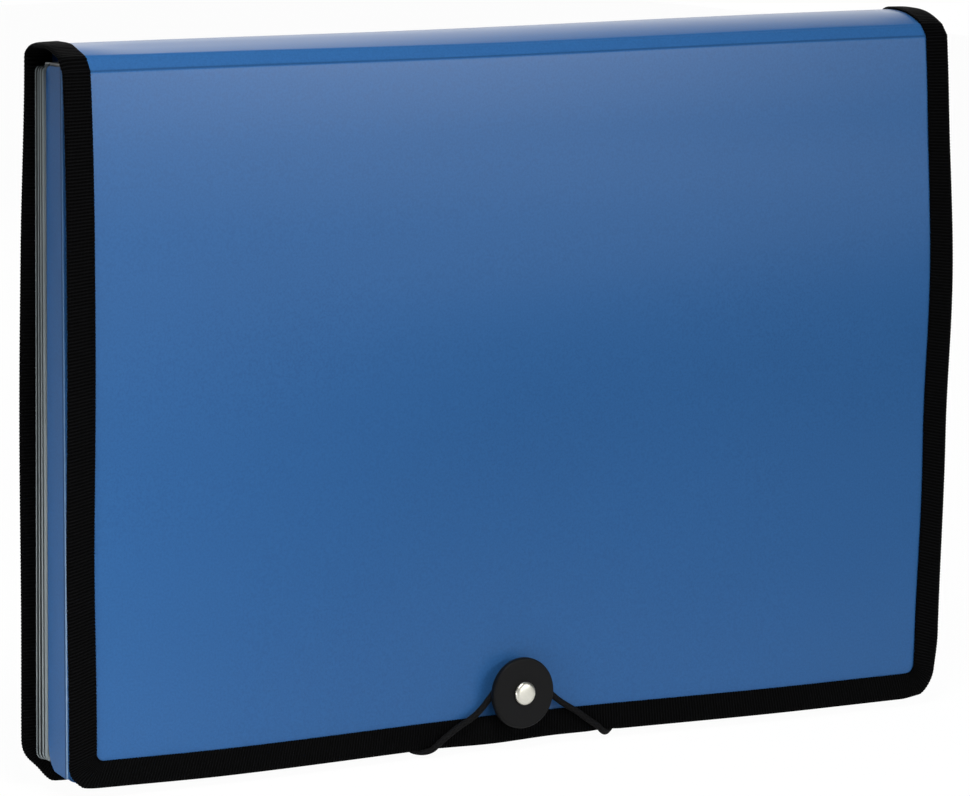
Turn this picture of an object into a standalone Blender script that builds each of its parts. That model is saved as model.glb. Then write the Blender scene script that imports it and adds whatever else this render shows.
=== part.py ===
"""Expanding file folder: a bound polypropylene cover over five bellows pockets, closed by a button and elastic.

Metres, +Z up.  The front flap faces -Y and the folder stands on its back panel's bound edge and its pockets.
Depths are laid out from the front face of the flap (depth 0, growing to the back) and shifted at the end,
so that the origin lies under the middle of the folder's bounding box.
"""
import math

import bmesh
import bpy

# Cover sheet and its binding tape
COVER_WIDTH = 0.330
SHEET = 0.0008
TAPE = 0.0006
TAPE_WIDTH = 0.0096
TAPE_CHAMFER = 0.0004
FIT = 0.0002
BACK_DEPTH = 0.0280
BACK_CORNER = 0.0140
BACK_INNER_CORNER = 0.0050
FLAP_CORNER = 0.0100
FLAP_INNER_CORNER = 0.0030
FLAP_BOTTOM = 0.0026

# Folds of the cover, seen from the side
REAR_FOLD_HEIGHT = 0.2204
REAR_RADIUS = 0.0070
CREASE_UPPER_DEPTH = 0.0056
CREASE_UPPER_RISE = 0.0030
CREASE_LOWER_DEPTH = 0.0029
CREASE_LOWER_DROP = 0.0002
CREASE_GAP = 0.0003

# The flap's shape: leaning in at the top, bulging at mid height, drawn in at the bottom by the elastic
FLAP_LEAN = 0.0520
FLAP_BULGE = 0.0018
FLAP_BULGE_LOW = 0.0600
FLAP_BULGE_BELOW_CREASE = 0.0300
FLAP_DRAW = 0.0055
FLAP_DRAW_WIDTH = 0.1150
FLAP_DRAW_HEIGHT = 0.1500

# Pockets
POCKET_COUNT = 5
POCKET_SIDE_GAP = 0.0050
POCKET_BOTTOM = 0.0007
POCKET_FRONT_DEPTH = 0.0103
POCKET_PITCH = 0.0013
DIVIDER = 0.0004
DIVIDER_DROP = 0.0010
DIVIDER_CORNER = 0.0080
DIVIDER_TOP_CORNER = 0.0020
FILM = 0.00015
FILM_CLEARANCE = 0.00012
FILM_INSET = 0.0003
FILM_DEPTH = 0.0180
FILM_INNER_CORNER = 0.0030
FRONT_FILM_RISE = 0.0011
FRONT_FILM_LEAF_GAP = 0.0003
FRONT_FILM_REACH = 0.0080

# Front panel with its turned-in wings
FRONT_RISE = 0.0002
PANEL_CORNER = 0.0028
WING_DEPTH = 0.0108
WING_RISE = 0.0014
WING_CORNER = 0.0025
FOLD_RADIUS = 0.0012
FLANGE_INSET = 0.0020

# Index tabs on the dividers
TAB_SPACE = 0.0120
TAB_RISE = 0.0040
TAB_CORNER = 0.0015
LABEL_SIDE_MARGIN = 0.0030
LABEL_HEIGHT = 0.0100
LABEL_MARGIN = 0.0010
LABEL = 0.00015
LABEL_CLEARANCE = 0.0001

# Button: spacer, disc, rivet and washer
BUTTON_X = 0.0
BUTTON_HEIGHT = 0.0184
SPACER_RADIUS = 0.0055
SPACER = 0.0029
DISC_RADIUS = 0.0118
DISC = 0.0024
DISC_EDGE = 0.0006
RIVET_RADIUS = 0.0020
RIVET_HEAD_RADIUS = 0.0040
RIVET_HEAD = 0.0014
RIVET_TAIL_RADIUS = 0.0032
RIVET_TAIL = 0.0008
WASHER_RADIUS = 0.0048
WASHER = 0.0005
RUNNING_FIT = 0.0002
FLAP_SEAT = 0.0003

# Elastic cord and its barbed ends
CORD = 0.0020
CORD_STEP = 0.0045
CORD_HOLE_X = 0.0481
CORD_HOLE_HEIGHT = 0.0124
CORD_HOLE_RADIUS = 0.0015
BARB_LENGTH = 0.0080
BARB_RADIUS = 0.0010
CUT_OVERRUN = 0.0020

# One half of the cord's route: across from the button's middle, depth, height
CORD_HALF_ROUTE = (
    (0.0481, 0.0119, 0.0124),
    (0.0481, 0.0111, 0.0124),
    (0.0478, 0.0095, 0.0122),
    (0.0471, 0.0082, 0.0118),
    (0.0460, 0.0072, 0.0108),
    (0.0446, 0.0069, 0.0097),
    (0.0422, 0.0071, 0.0071),
    (0.0399, 0.0072, 0.0044),
    (0.0373, 0.0066, 0.0017),
    (0.0346, 0.0046, 0.0011),
    (0.0323, 0.0030, 0.0020),
    (0.0303, 0.0024, 0.0039),
    (0.0275, 0.0025, 0.0062),
    (0.0200, 0.0028, 0.0118),
    (0.0110, 0.0032, 0.0185),
    (0.0062, 0.0034, 0.0221),
    (0.0034, 0.0035, 0.0242),
)
CORD_TOP = (0.0, 0.0035, 0.0251)
CORD_LOW_POINT = 9

# Counts
ARC_STEPS = 8
FOLD_STEPS = 3
CURVE_STEPS = 8
TURN_STEPS = 40
FLAP_TOP_STEPS = 4
FLAP_BULGE_STEPS = 10
FLAP_LOW_STEPS = 3
FLAP_DRAW_STEPS = 5

# Sizes and joint positions worked out from the sizes above
CREASE_UPPER_HEIGHT = REAR_FOLD_HEIGHT + CREASE_UPPER_RISE
CREASE_LOWER_HEIGHT = REAR_FOLD_HEIGHT - CREASE_LOWER_DROP
FLAP_LEAN_START = CREASE_LOWER_HEIGHT - FLAP_LEAN
FLAP_BULGE_HIGH = CREASE_LOWER_HEIGHT - FLAP_BULGE_BELOW_CREASE
DIVIDER_TOP = REAR_FOLD_HEIGHT - DIVIDER_DROP
FRONT_FILM_TOP = REAR_FOLD_HEIGHT + FRONT_FILM_RISE
FRONT_TOP = REAR_FOLD_HEIGHT + FRONT_RISE
POCKET_HALF_WIDTH = COVER_WIDTH / 2 - POCKET_SIDE_GAP
TAB_PITCH = 2 * POCKET_HALF_WIDTH / POCKET_COUNT
TAB_WIDTH = TAB_PITCH - TAB_SPACE
LABEL_WIDTH = TAB_WIDTH - 2 * LABEL_SIDE_MARGIN
OUT = SHEET / 2 + FIT + TAPE
SHEET_HALF = COVER_WIDTH / 2 - FIT - TAPE
BACK_FACE = BACK_DEPTH + OUT
FLAP_DEPTH = SHEET / 2
FLAP_FRONT = FLAP_DEPTH - FLAP_BULGE - OUT
SHIFT = -(BACK_FACE + FLAP_FRONT) / 2
REAR_AXIS = (0.0, BACK_FACE + FIT, REAR_FOLD_HEIGHT)
BACK_INNER_FACE = BACK_DEPTH - OUT

MATERIALS = {
    "pp_blue": ((0.045, 0.130, 0.320), 0.45, 0.0),
    "binding_tape": ((0.006, 0.006, 0.007), 0.85, 0.0),
    "pocket_film": ((0.300, 0.340, 0.340), 0.30, 0.0),
    "divider_sheet": ((0.620, 0.680, 0.680), 0.35, 0.0),
    "label_paper": ((0.850, 0.850, 0.830), 0.80, 0.0),
    "button_plastic": ((0.012, 0.012, 0.013), 0.60, 0.0),
    "nickel": ((0.720, 0.700, 0.660), 0.25, 1.0),
    "elastic": ((0.008, 0.008, 0.009), 0.90, 0.0),
}


def material(name):
    """Principled material of the palette, made once."""
    found = bpy.data.materials.get(name)
    if found:
        return found
    colour, roughness, metallic = MATERIALS[name]
    made = bpy.data.materials.new(name)
    made.use_nodes = True
    shader = made.node_tree.nodes["Principled BSDF"]
    shader.inputs["Base Color"].default_value = (*colour, 1.0)
    shader.inputs["Roughness"].default_value = roughness
    shader.inputs["Metallic"].default_value = metallic
    return made


def collection(name):
    made = bpy.data.collections.new(name)
    bpy.context.scene.collection.children.link(made)
    return made


class Body:
    """An empty on a joint's axis that carries the pieces which move together."""

    def __init__(self, name, pivot, parent=None):
        self.pivot = (pivot[0], pivot[1] + SHIFT, pivot[2])
        self.empty = bpy.data.objects.new(name, None)
        PARTS.objects.link(self.empty)
        start = parent.pivot if parent else (0.0, 0.0, 0.0)
        if parent:
            self.empty.parent = parent.empty
        self.empty.location = [a - b for a, b in zip(self.pivot, start)]

    def carry(self, piece, place=(0.0, 0.0, 0.0)):
        """Parents a piece whose own origin stands at place, in depths from the flap."""
        piece.parent = self.empty
        piece.location = (place[0] - self.pivot[0], place[1] + SHIFT - self.pivot[1], place[2] - self.pivot[2])
        return piece


def mesh_object(name, bm, slot):
    mesh = bpy.data.meshes.new(name)
    bm.to_mesh(mesh)
    bm.free()
    mesh.materials.append(material(slot))
    made = bpy.data.objects.new(name, mesh)
    PARTS.objects.link(made)
    return made


def rounded(corners, steps=ARC_STEPS):
    """Outline through (x, y, radius) corners, each with its fillet as an arc."""
    outline = []
    for index, (x, y, radius) in enumerate(corners):
        before, after = corners[index - 1], corners[(index + 1) % len(corners)]
        if radius == 0:
            outline.append((x, y))
            continue
        a = math.atan2(before[1] - y, before[0] - x)
        b = math.atan2(after[1] - y, after[0] - x)
        turn = (b - a + math.pi) % (2 * math.pi) - math.pi
        reach = radius / math.tan(abs(turn) / 2)
        middle = a + turn / 2
        centre_reach = math.hypot(radius, reach)
        centre = (x + centre_reach * math.cos(middle), y + centre_reach * math.sin(middle))
        start = math.atan2(y + reach * math.sin(a) - centre[1], x + reach * math.cos(a) - centre[0])
        sweep = math.pi - abs(turn)
        sign = -1 if turn > 0 else 1
        for step in range(steps + 1):
            angle = start + sign * sweep * step / steps
            outline.append((centre[0] + radius * math.cos(angle), centre[1] + radius * math.sin(angle)))
    return outline


def sheet_from_outline(name, outline, cuts, place, slot, thickness=SHEET):
    """A die-cut blank: a flat outline, divided where it bends, put in space by place(a, b) and given its wall.

    cuts is a list of (axis, value): the blank is divided along each line a = value or b = value.
    """
    bm = bmesh.new()
    bm.faces.new([bm.verts.new((a, b, 0.0)) for a, b in outline])
    for axis, value in cuts:
        point = [0.0, 0.0, 0.0]
        normal = [0.0, 0.0, 0.0]
        point[axis] = value
        normal[axis] = 1.0
        geometry = bm.verts[:] + bm.edges[:] + bm.faces[:]
        bmesh.ops.bisect_plane(bm, geom=geometry, dist=FIT / 100, plane_co=point, plane_no=normal)
    for vertex in bm.verts:
        vertex.co = place(vertex.co.x, vertex.co.y)
    piece = mesh_object(name, bm, slot)
    wall = piece.modifiers.new("wall", "SOLIDIFY")
    wall.thickness = thickness
    wall.offset = 0.0
    wall.use_even_offset = True
    return piece


def loft(name, sections, slot):
    """Closed body through a row of like sections, with flat ends."""
    bm = bmesh.new()
    rings = [[bm.verts.new(point) for point in section] for section in sections]
    for ring, following in zip(rings, rings[1:]):
        for index, vertex in enumerate(ring):
            nearby = (index + 1) % len(ring)
            bm.faces.new((vertex, ring[nearby], following[nearby], following[index]))
    bm.faces.new(rings[0])
    bm.faces.new(rings[-1])
    bmesh.ops.recalc_face_normals(bm, faces=bm.faces[:])
    return mesh_object(name, bm, slot)


def band(name, rails, section, place, slot, width):
    """A folded strip along an edge: section points (across, out) run from the outer rail towards the inner one."""
    sections = []
    for (ax, az), (bx, bz) in rails:
        step = ((bx - ax) / width, (bz - az) / width)
        sections.append([place(ax + step[0] * across, az + step[1] * across, out) for across, out in section])
    return loft(name, sections, slot)


def u_rails(half, top, bottom, outer_corner, inner_corner, width, side_stops=(), bottom_stops=()):
    """Pairs of outer and inner rail points down the left edge, round the bottom and up the right edge."""
    left = [((-half, stop), (-half + width, stop)) for stop in (top, *side_stops)]
    for step in range(ARC_STEPS + 1):
        angle = math.pi * (1 + step / ARC_STEPS / 2)
        across, down = math.cos(angle), math.sin(angle)
        outer = (-half + outer_corner * (1 + across), bottom + outer_corner * (1 + down))
        inner = (-half + width + inner_corner * (1 + across), bottom + width + inner_corner * (1 + down))
        left.append((outer, inner))
    middle = [((stop, bottom), (stop, bottom + width)) for stop in bottom_stops]
    right = [((-outer[0], outer[1]), (-inner[0], inner[1])) for outer, inner in reversed(left)]
    return left + middle + right


def tape_section():
    """Binding tape folded over a sheet's edge, seen end on: (in from the sheet's edge, out from its middle)."""
    rim = -(FIT + TAPE)
    gap = SHEET / 2 + FIT
    leg = TAPE_WIDTH + rim
    return (
        (rim, TAPE_CHAMFER - OUT),
        (rim, OUT - TAPE_CHAMFER),
        (rim + TAPE_CHAMFER, OUT),
        (leg, OUT),
        (leg, gap),
        (-FIT, gap),
        (-FIT, -gap),
        (leg, -gap),
        (leg, -OUT),
        (rim + TAPE_CHAMFER, -OUT),
    )


class Fold:
    """The cover's run in side view: points (depth, height) in order, walked by length, out being away from the pockets."""

    def __init__(self, points):
        self.points = points
        self.stops = [0.0]
        for a, b in zip(points, points[1:]):
            self.stops.append(self.stops[-1] + math.dist(a, b))
        self.length = self.stops[-1]

    def heading(self, index):
        a, b = self.points[index], self.points[index + 1]
        return math.atan2(b[1] - a[1], b[0] - a[0])

    def at(self, run, out=0.0):
        """Point at a length along the run, moved out from the sheet's middle on the mean normal of a bend."""
        index = 0
        while index < len(self.stops) - 2 and run > self.stops[index + 1]:
            index += 1
        a, b = self.points[index], self.points[index + 1]
        share = (run - self.stops[index]) / (self.stops[index + 1] - self.stops[index])
        heading = self.heading(index)
        spread = 1.0
        if math.isclose(share, 1.0, abs_tol=FIT) and index < len(self.points) - 2:
            bend = self.heading(index + 1) - heading
            heading += bend / 2
            spread = 1 / math.cos(bend / 2)
        normal = (math.sin(heading) * spread, -math.cos(heading) * spread)
        return (a[0] + (b[0] - a[0]) * share + normal[0] * out, a[1] + (b[1] - a[1]) * share + normal[1] * out)

    def bends(self, margin):
        """Lengths at which the run bends, away from its two ends."""
        return [stop for stop in self.stops[1:-1] if margin < stop < self.length - margin]


def top_fold():
    """From the rear fold round the rear corner, down the dome to the upper crease and on to the lower one."""
    depth = BACK_DEPTH - REAR_RADIUS
    height = REAR_FOLD_HEIGHT + REAR_RADIUS
    points = []
    for step in range(ARC_STEPS + 1):
        angle = math.pi / 2 * step / ARC_STEPS
        points.append((depth + REAR_RADIUS * math.cos(angle), REAR_FOLD_HEIGHT + REAR_RADIUS * math.sin(angle)))
    for step in range(1, CURVE_STEPS + 1):
        share = 1 - step / CURVE_STEPS
        rise = (height - CREASE_UPPER_HEIGHT) * (1 - (1 - share) ** 2)
        points.append((CREASE_UPPER_DEPTH + (depth - CREASE_UPPER_DEPTH) * share, CREASE_UPPER_HEIGHT + rise))
    points.append((CREASE_LOWER_DEPTH, CREASE_LOWER_HEIGHT))
    return Fold(points)


def half_wave(value, low, high):
    """Smooth hump from 0 at low, through 1 midway, to 0 at high, and 0 outside."""
    share = (value - low) / (high - low)
    return math.sin(math.pi * share) ** 2 if 0 < share < 1 else 0.0


def flap_draw(across, height):
    """How far the elastic draws the flap in towards the pockets, most at the bottom middle."""
    side = half_wave(across, -FLAP_DRAW_WIDTH, FLAP_DRAW_WIDTH)
    return FLAP_DRAW * side * half_wave(height, -FLAP_DRAW_HEIGHT, FLAP_DRAW_HEIGHT)


def flap_fold():
    """From the lower crease down the flap's edge: leaning out, over the bulge and straight to the bottom."""
    bottom = FLAP_BOTTOM + FIT + TAPE
    heights = [CREASE_LOWER_HEIGHT]
    for start, end, steps in (
        (CREASE_LOWER_HEIGHT, FLAP_BULGE_HIGH, FLAP_TOP_STEPS),
        (FLAP_BULGE_HIGH, FLAP_BULGE_LOW, FLAP_BULGE_STEPS),
        (FLAP_BULGE_LOW, bottom, FLAP_LOW_STEPS),
    ):
        heights += [start + (end - start) * step / steps for step in range(1, steps + 1)]
    points = []
    for height in heights:
        share = max(height - FLAP_LEAN_START, 0.0) / (CREASE_LOWER_HEIGHT - FLAP_LEAN_START)
        depth = FLAP_DEPTH + (CREASE_LOWER_DEPTH - FLAP_DEPTH) * share**2
        points.append((depth - FLAP_BULGE * half_wave(height, FLAP_BULGE_LOW, FLAP_BULGE_HIGH), height))
    return Fold(points)


def crease_trim(first, second):
    """Length cut from each sheet at a crease, so that square ends meet a small gap off the inner fold line."""
    bend = abs(second.heading(0) - first.heading(len(first.points) - 2))
    return OUT * math.tan(bend / 2) + CREASE_GAP


def crease_axis(first, second):
    """Point of a crease on the tape's inner face, where the two runs meet."""
    bend = second.heading(0) - first.heading(len(first.points) - 2)
    heading = first.heading(len(first.points) - 2) + bend / 2
    reach = -OUT / math.cos(bend / 2)
    depth, height = first.points[-1]
    return (0.0, depth + math.sin(heading) * reach, height - math.cos(heading) * reach)


def on_fold(fold):
    """Placing function for a blank that hangs on a fold: (across, along, out)."""

    def place(across, along, out=0.0):
        depth, height = fold.at(along, out)
        return (across, depth, height)

    return place


def top_strip(run, start, end, body):
    """The cover's top between the rear fold and the lower crease, with its two edge tapes."""
    place = on_fold(run)
    stops = [start, *[stop for stop in run.stops if start + FIT < stop < end - FIT], end]
    outline = [(-SHEET_HALF, start), (SHEET_HALF, start), (SHEET_HALF, end), (-SHEET_HALF, end)]
    cuts = [(1, stop) for stop in stops[1:-1]]
    body.carry(sheet_from_outline("top_panel", outline, cuts, place, "pp_blue"))
    for side, sign in (("left", -1), ("right", 1)):
        rails = [((sign * SHEET_HALF, stop), (sign * (SHEET_HALF - TAPE_WIDTH), stop)) for stop in stops]
        body.carry(band(f"top_tape_{side}", rails, tape_section(), place, "binding_tape", TAPE_WIDTH))


def cover(back, top, flap, run, front):
    """Back panel, top and flap of one blue sheet, each with its part of the binding tape."""
    bottom = FIT + TAPE
    back_top = REAR_FOLD_HEIGHT - CREASE_GAP
    outline = rounded(
        [
            (-SHEET_HALF, back_top, 0),
            (-SHEET_HALF, bottom, BACK_CORNER),
            (SHEET_HALF, bottom, BACK_CORNER),
            (SHEET_HALF, back_top, 0),
        ]
    )
    back.carry(sheet_from_outline("back_panel", outline, [], lambda a, b: (a, BACK_DEPTH, b), "pp_blue"))
    rails = u_rails(SHEET_HALF, back_top, bottom, BACK_CORNER, BACK_INNER_CORNER, TAPE_WIDTH)
    tape = band(
        "back_tape", rails, tape_section(), lambda a, b, out: (a, BACK_DEPTH + out, b), "binding_tape", TAPE_WIDTH
    )
    back.carry(tape)

    lower = crease_trim(run, front)
    top_strip(run, CREASE_GAP, run.length - lower, top)

    fold_place = on_fold(front)

    def place(across, along, out=0.0):
        """On the flap's run, drawn in by the elastic."""
        x, depth, height = fold_place(across, along, out)
        return (x, depth + flap_draw(across, front.at(along)[1]), height)

    outline = rounded(
        [
            (-SHEET_HALF, lower, 0),
            (-SHEET_HALF, front.length, FLAP_CORNER),
            (SHEET_HALF, front.length, FLAP_CORNER),
            (SHEET_HALF, lower, 0),
        ]
    )
    steps = range(-FLAP_DRAW_STEPS, FLAP_DRAW_STEPS + 1)
    across_stops = [FLAP_DRAW_WIDTH * step / FLAP_DRAW_STEPS for step in steps]
    cuts = [(1, stop) for stop in front.bends(lower)] + [(0, stop) for stop in across_stops]
    flap.carry(sheet_from_outline("flap_panel", outline, cuts, place, "pp_blue"))
    drilled = bpy.data.objects["flap_panel"]
    depth = FLAP_DEPTH + flap_draw(BUTTON_X, BUTTON_HEIGHT)
    cut_round(drilled, "rivet_hole", RIVET_RADIUS + RUNNING_FIT, BUTTON_X, depth, BUTTON_HEIGHT)

    def hang(across, height, out):
        return place(across, front.length - height, out)

    stops = [front.length - stop for stop in front.bends(lower)]
    rails = u_rails(
        SHEET_HALF,
        front.length - lower,
        0.0,
        FLAP_CORNER,
        FLAP_INNER_CORNER,
        TAPE_WIDTH,
        side_stops=stops,
        bottom_stops=across_stops,
    )
    flap.carry(band("flap_tape", rails, tape_section(), hang, "binding_tape", TAPE_WIDTH))


def cut_round(piece, name, radius, across, depth, height):
    """Round hole through a sheet, square to the flap."""
    bm = bmesh.new()
    bmesh.ops.create_cone(
        bm, cap_ends=True, segments=TURN_STEPS, radius1=radius, radius2=radius, depth=SHEET + 2 * CUT_OVERRUN
    )
    mesh = bpy.data.meshes.new(name)
    bm.to_mesh(mesh)
    bm.free()
    cutter = bpy.data.objects.new(name, mesh)
    CUTTERS.objects.link(cutter)
    cutter.rotation_euler = (math.pi / 2, 0.0, 0.0)
    cutter.location = (across, depth + SHIFT, height)
    cutter.hide_render = True
    cutter.display_type = "WIRE"
    cut = piece.modifiers.new(name, "BOOLEAN")
    cut.operation = "DIFFERENCE"
    cut.object = cutter


def divider_depth(number):
    """Middle of a divider, counted from the back."""
    return BACK_INNER_FACE - number * POCKET_PITCH + DIVIDER / 2


def tab_middle(number):
    """Tabs are staggered from left to right, the rearmost on the left."""
    return (number - POCKET_COUNT / 2) * TAB_PITCH


def flat_card(name, outline, depth, thickness, slot):
    """A flat sheet cut to an outline (across, height), standing square to the depth."""
    curve = bpy.data.curves.new(name, "CURVE")
    curve.dimensions = "2D"
    curve.fill_mode = "BOTH"
    curve.extrude = thickness / 2
    spline = curve.splines.new("POLY")
    spline.points.add(len(outline) - 1)
    for point, (across, height) in zip(spline.points, outline):
        point.co = (across, height, 0.0, 1.0)
    spline.use_cyclic_u = True
    card = bpy.data.objects.new(name, curve)
    PARTS.objects.link(card)
    curve.materials.append(material(slot))
    card.rotation_euler = (math.pi / 2, 0.0, 0.0)
    return card, (0.0, depth, 0.0)


def divider(number, body):
    """One stiff divider with its index tab, and the paper label on the tab."""
    half = POCKET_HALF_WIDTH
    middle = tab_middle(number)
    tab_top = DIVIDER_TOP + TAB_RISE
    outline = rounded(
        [
            (-half, DIVIDER_TOP, DIVIDER_TOP_CORNER),
            (-half, POCKET_BOTTOM, DIVIDER_CORNER),
            (half, POCKET_BOTTOM, DIVIDER_CORNER),
            (half, DIVIDER_TOP, DIVIDER_TOP_CORNER),
            (middle + TAB_WIDTH / 2, DIVIDER_TOP, TAB_CORNER),
            (middle + TAB_WIDTH / 2, tab_top, TAB_CORNER),
            (middle - TAB_WIDTH / 2, tab_top, TAB_CORNER),
            (middle - TAB_WIDTH / 2, DIVIDER_TOP, TAB_CORNER),
        ],
        steps=ARC_STEPS // 2,
    )
    depth = divider_depth(number)
    body.carry(*flat_card(f"divider_{number}", outline, depth, DIVIDER, "divider_sheet"))
    label_top = tab_top - LABEL_MARGIN
    label_outline = [
        (middle - LABEL_WIDTH / 2, label_top),
        (middle - LABEL_WIDTH / 2, label_top - LABEL_HEIGHT),
        (middle + LABEL_WIDTH / 2, label_top - LABEL_HEIGHT),
        (middle + LABEL_WIDTH / 2, label_top),
    ]
    label_depth = depth - DIVIDER / 2 - LABEL_CLEARANCE - LABEL / 2
    body.carry(*flat_card(f"index_label_{number}", label_outline, label_depth, LABEL, "label_paper"))


def film_rails(top):
    """Rails of a bellows film: down one side, round the bottom and up the other side."""
    half = POCKET_HALF_WIDTH - FILM_INSET
    bottom = POCKET_BOTTOM + FILM_INSET
    return u_rails(half, top, bottom, DIVIDER_CORNER, FILM_INNER_CORNER, FILM_DEPTH)


def gusset(number, body):
    """Bellows film between two neighbouring sheets: a V that folds inwards, along both sides and the bottom."""
    rear = divider_depth(number - 1) - DIVIDER / 2 if number > 1 else BACK_INNER_FACE
    front = divider_depth(number) + DIVIDER / 2
    middle = (rear + front) / 2
    spread = (rear - front) / 2 - FILM_CLEARANCE
    section = (
        (0.0, spread),
        (0.0, spread - FILM),
        (FILM_DEPTH - 2 * FILM, 0.0),
        (0.0, FILM - spread),
        (0.0, -spread),
        (FILM_DEPTH, -FILM / 2),
        (FILM_DEPTH, FILM / 2),
    )
    rails = film_rails(DIVIDER_TOP)
    place = lambda across, height, out: (across, middle + out, height)
    body.carry(band(f"gusset_{number}", rails, section, place, "pocket_film", FILM_DEPTH))


def front_gusset(body):
    """Film of the front pocket: folded beside the last divider, then laid along the inside of the wings."""
    number = POCKET_COUNT
    rear = divider_depth(number - 1) - DIVIDER / 2 - FILM_CLEARANCE
    fold = rear - 2 * FILM - FRONT_FILM_LEAF_GAP
    lap = SHEET + FIT - FILM_INSET
    reach = fold - FRONT_FILM_REACH
    section = (
        (0.0, rear),
        (FILM_DEPTH, rear),
        (FILM_DEPTH, fold),
        (lap + FILM, fold),
        (lap + FILM, reach),
        (lap, reach),
        (lap, fold + FILM),
        (FILM_DEPTH - FILM, fold + FILM),
        (FILM_DEPTH - FILM, rear - FILM),
        (0.0, rear - FILM),
    )
    rails = film_rails(FRONT_FILM_TOP)
    place = lambda across, height, depth: (across, depth, height)
    body.carry(band(f"gusset_{number}", rails, section, place, "pocket_film", FILM_DEPTH))


def front_panel(body):
    """Front pocket panel: one blank with two side wings and a bottom wing, each turned in to the back."""
    half = POCKET_HALF_WIDTH - SHEET / 2
    bottom = POCKET_BOTTOM + SHEET / 2
    depth = POCKET_FRONT_DEPTH + SHEET / 2
    radius = FOLD_RADIUS
    arc = radius * math.pi / 2
    flat_half = half - radius
    flat_bottom = bottom + radius
    wing = flat_half + arc + WING_DEPTH - SHEET / 2 - radius
    flange = flat_bottom - arc - (WING_DEPTH - SHEET / 2 - radius)
    corner = PANEL_CORNER
    corner_arc = []
    for step in range(ARC_STEPS + 1):
        angle = math.pi / 2 * step / ARC_STEPS
        across = flat_half - corner * (1 - math.cos(angle))
        corner_arc.append((across, flat_bottom + corner * (1 - math.sin(angle))))
    right = [
        (wing, FRONT_TOP, WING_CORNER),
        (wing, flat_bottom + corner + WING_RISE, WING_CORNER),
    ]
    right_side = rounded([(0.0, FRONT_TOP, 0), *right, (flat_half, flat_bottom + corner, 0)], ARC_STEPS // 2)[1:]
    flange_end = [
        (flat_half - corner - FLANGE_INSET, flat_bottom),
        (flat_half - corner - 2 * FLANGE_INSET, flange),
    ]
    half_outline = right_side + corner_arc[1:] + flange_end
    outline = half_outline + [(-across, height) for across, height in reversed(half_outline)]
    cuts = []
    for step in range(FOLD_STEPS + 1):
        share = arc * step / FOLD_STEPS
        cuts += [(0, flat_half + share), (0, -flat_half - share), (1, flat_bottom - share)]

    def turn(run):
        """A bend of a quarter turn, then straight: (on past the fold line, in from the face)."""
        if run <= 0:
            return run, 0.0
        angle = min(run / arc, 1.0) * math.pi / 2
        straight = max(run - arc, 0.0)
        return radius * math.sin(angle), radius * (1 - math.cos(angle)) + straight

    def place(across, height):
        side, inwards = turn(abs(across) - flat_half)
        down, under = turn(flat_bottom - height)
        return (math.copysign(flat_half + side, across), depth + inwards + under, flat_bottom - down)

    panel = sheet_from_outline("front_panel", outline, cuts, place, "pp_blue")
    body.carry(panel)
    for side, sign in (("left", -1), ("right", 1)):
        across = BUTTON_X + sign * CORD_HOLE_X
        cut_round(panel, f"cord_hole_{side}", CORD_HOLE_RADIUS, across, depth, CORD_HOLE_HEIGHT)


def turned(name, profile, slot, closed):
    """Turned piece: a profile (radius, height) run down its outer side and swept round its own axis."""
    bm = bmesh.new()
    vertices = [bm.verts.new((radius, 0.0, height)) for radius, height in profile]
    for a, b in zip(vertices, vertices[1:]):
        bm.edges.new((a, b))
    if closed:
        bm.edges.new((vertices[-1], vertices[0]))
    piece = mesh_object(name, bm, slot)
    screw = piece.modifiers.new("turn", "SCREW")
    screw.steps = TURN_STEPS
    screw.render_steps = TURN_STEPS
    screw.use_merge_vertices = True
    screw.merge_threshold = FIT / 20
    piece.rotation_euler = (math.pi / 2, 0.0, 0.0)
    return piece


def button_seat():
    """Depth of the flap's front face where the button sits."""
    return flap_draw(BUTTON_X, BUTTON_HEIGHT)


def button(flap, spin):
    """Disc on a spacer, held to the flap by a rivet with a washer inside; local heights run to the front."""
    bore = RIVET_RADIUS + RUNNING_FIT
    seat = button_seat()
    spacer = turned(
        "button_spacer",
        ((bore, SPACER), (SPACER_RADIUS, SPACER), (SPACER_RADIUS, 0.0), (bore, 0.0)),
        "button_plastic",
        True,
    )
    flap.carry(spacer, (BUTTON_X, seat - FLAP_SEAT, BUTTON_HEIGHT))

    edge = DISC_EDGE
    disc = turned(
        "button_disc",
        (
            (bore, DISC),
            (DISC_RADIUS - 2 * edge, DISC),
            (DISC_RADIUS - edge, DISC - edge / 3),
            (DISC_RADIUS, DISC - edge),
            (DISC_RADIUS, edge),
            (DISC_RADIUS - edge, 0.0),
            (bore, 0.0),
        ),
        "button_plastic",
        True,
    )
    disc_back = FLAP_SEAT + SPACER + FIT
    spin.carry(disc, (BUTTON_X, seat - disc_back, BUTTON_HEIGHT))

    front = disc_back + DISC + FIT
    inside = SHEET + FLAP_SEAT + WASHER + FIT
    tail = inside + RIVET_TAIL
    head = []
    for step in range(ARC_STEPS // 2 + 1):
        angle = math.pi / 2 * step / (ARC_STEPS // 2)
        head.append((RIVET_HEAD_RADIUS * math.sin(angle), front + RIVET_HEAD * math.cos(angle)))
    rivet = turned(
        "button_rivet",
        (
            *head,
            (RIVET_RADIUS, front),
            (RIVET_RADIUS, -inside),
            (RIVET_TAIL_RADIUS, -inside),
            (RIVET_TAIL_RADIUS - FIT, -tail),
            (0.0, -tail),
        ),
        "nickel",
        False,
    )
    flap.carry(rivet, (BUTTON_X, seat, BUTTON_HEIGHT))

    washer = turned(
        "button_washer",
        ((bore, WASHER), (WASHER_RADIUS, WASHER), (WASHER_RADIUS, 0.0), (bore, 0.0)),
        "nickel",
        True,
    )
    flap.carry(washer, (BUTTON_X, seat + SHEET + FLAP_SEAT + WASHER, BUTTON_HEIGHT))


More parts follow.
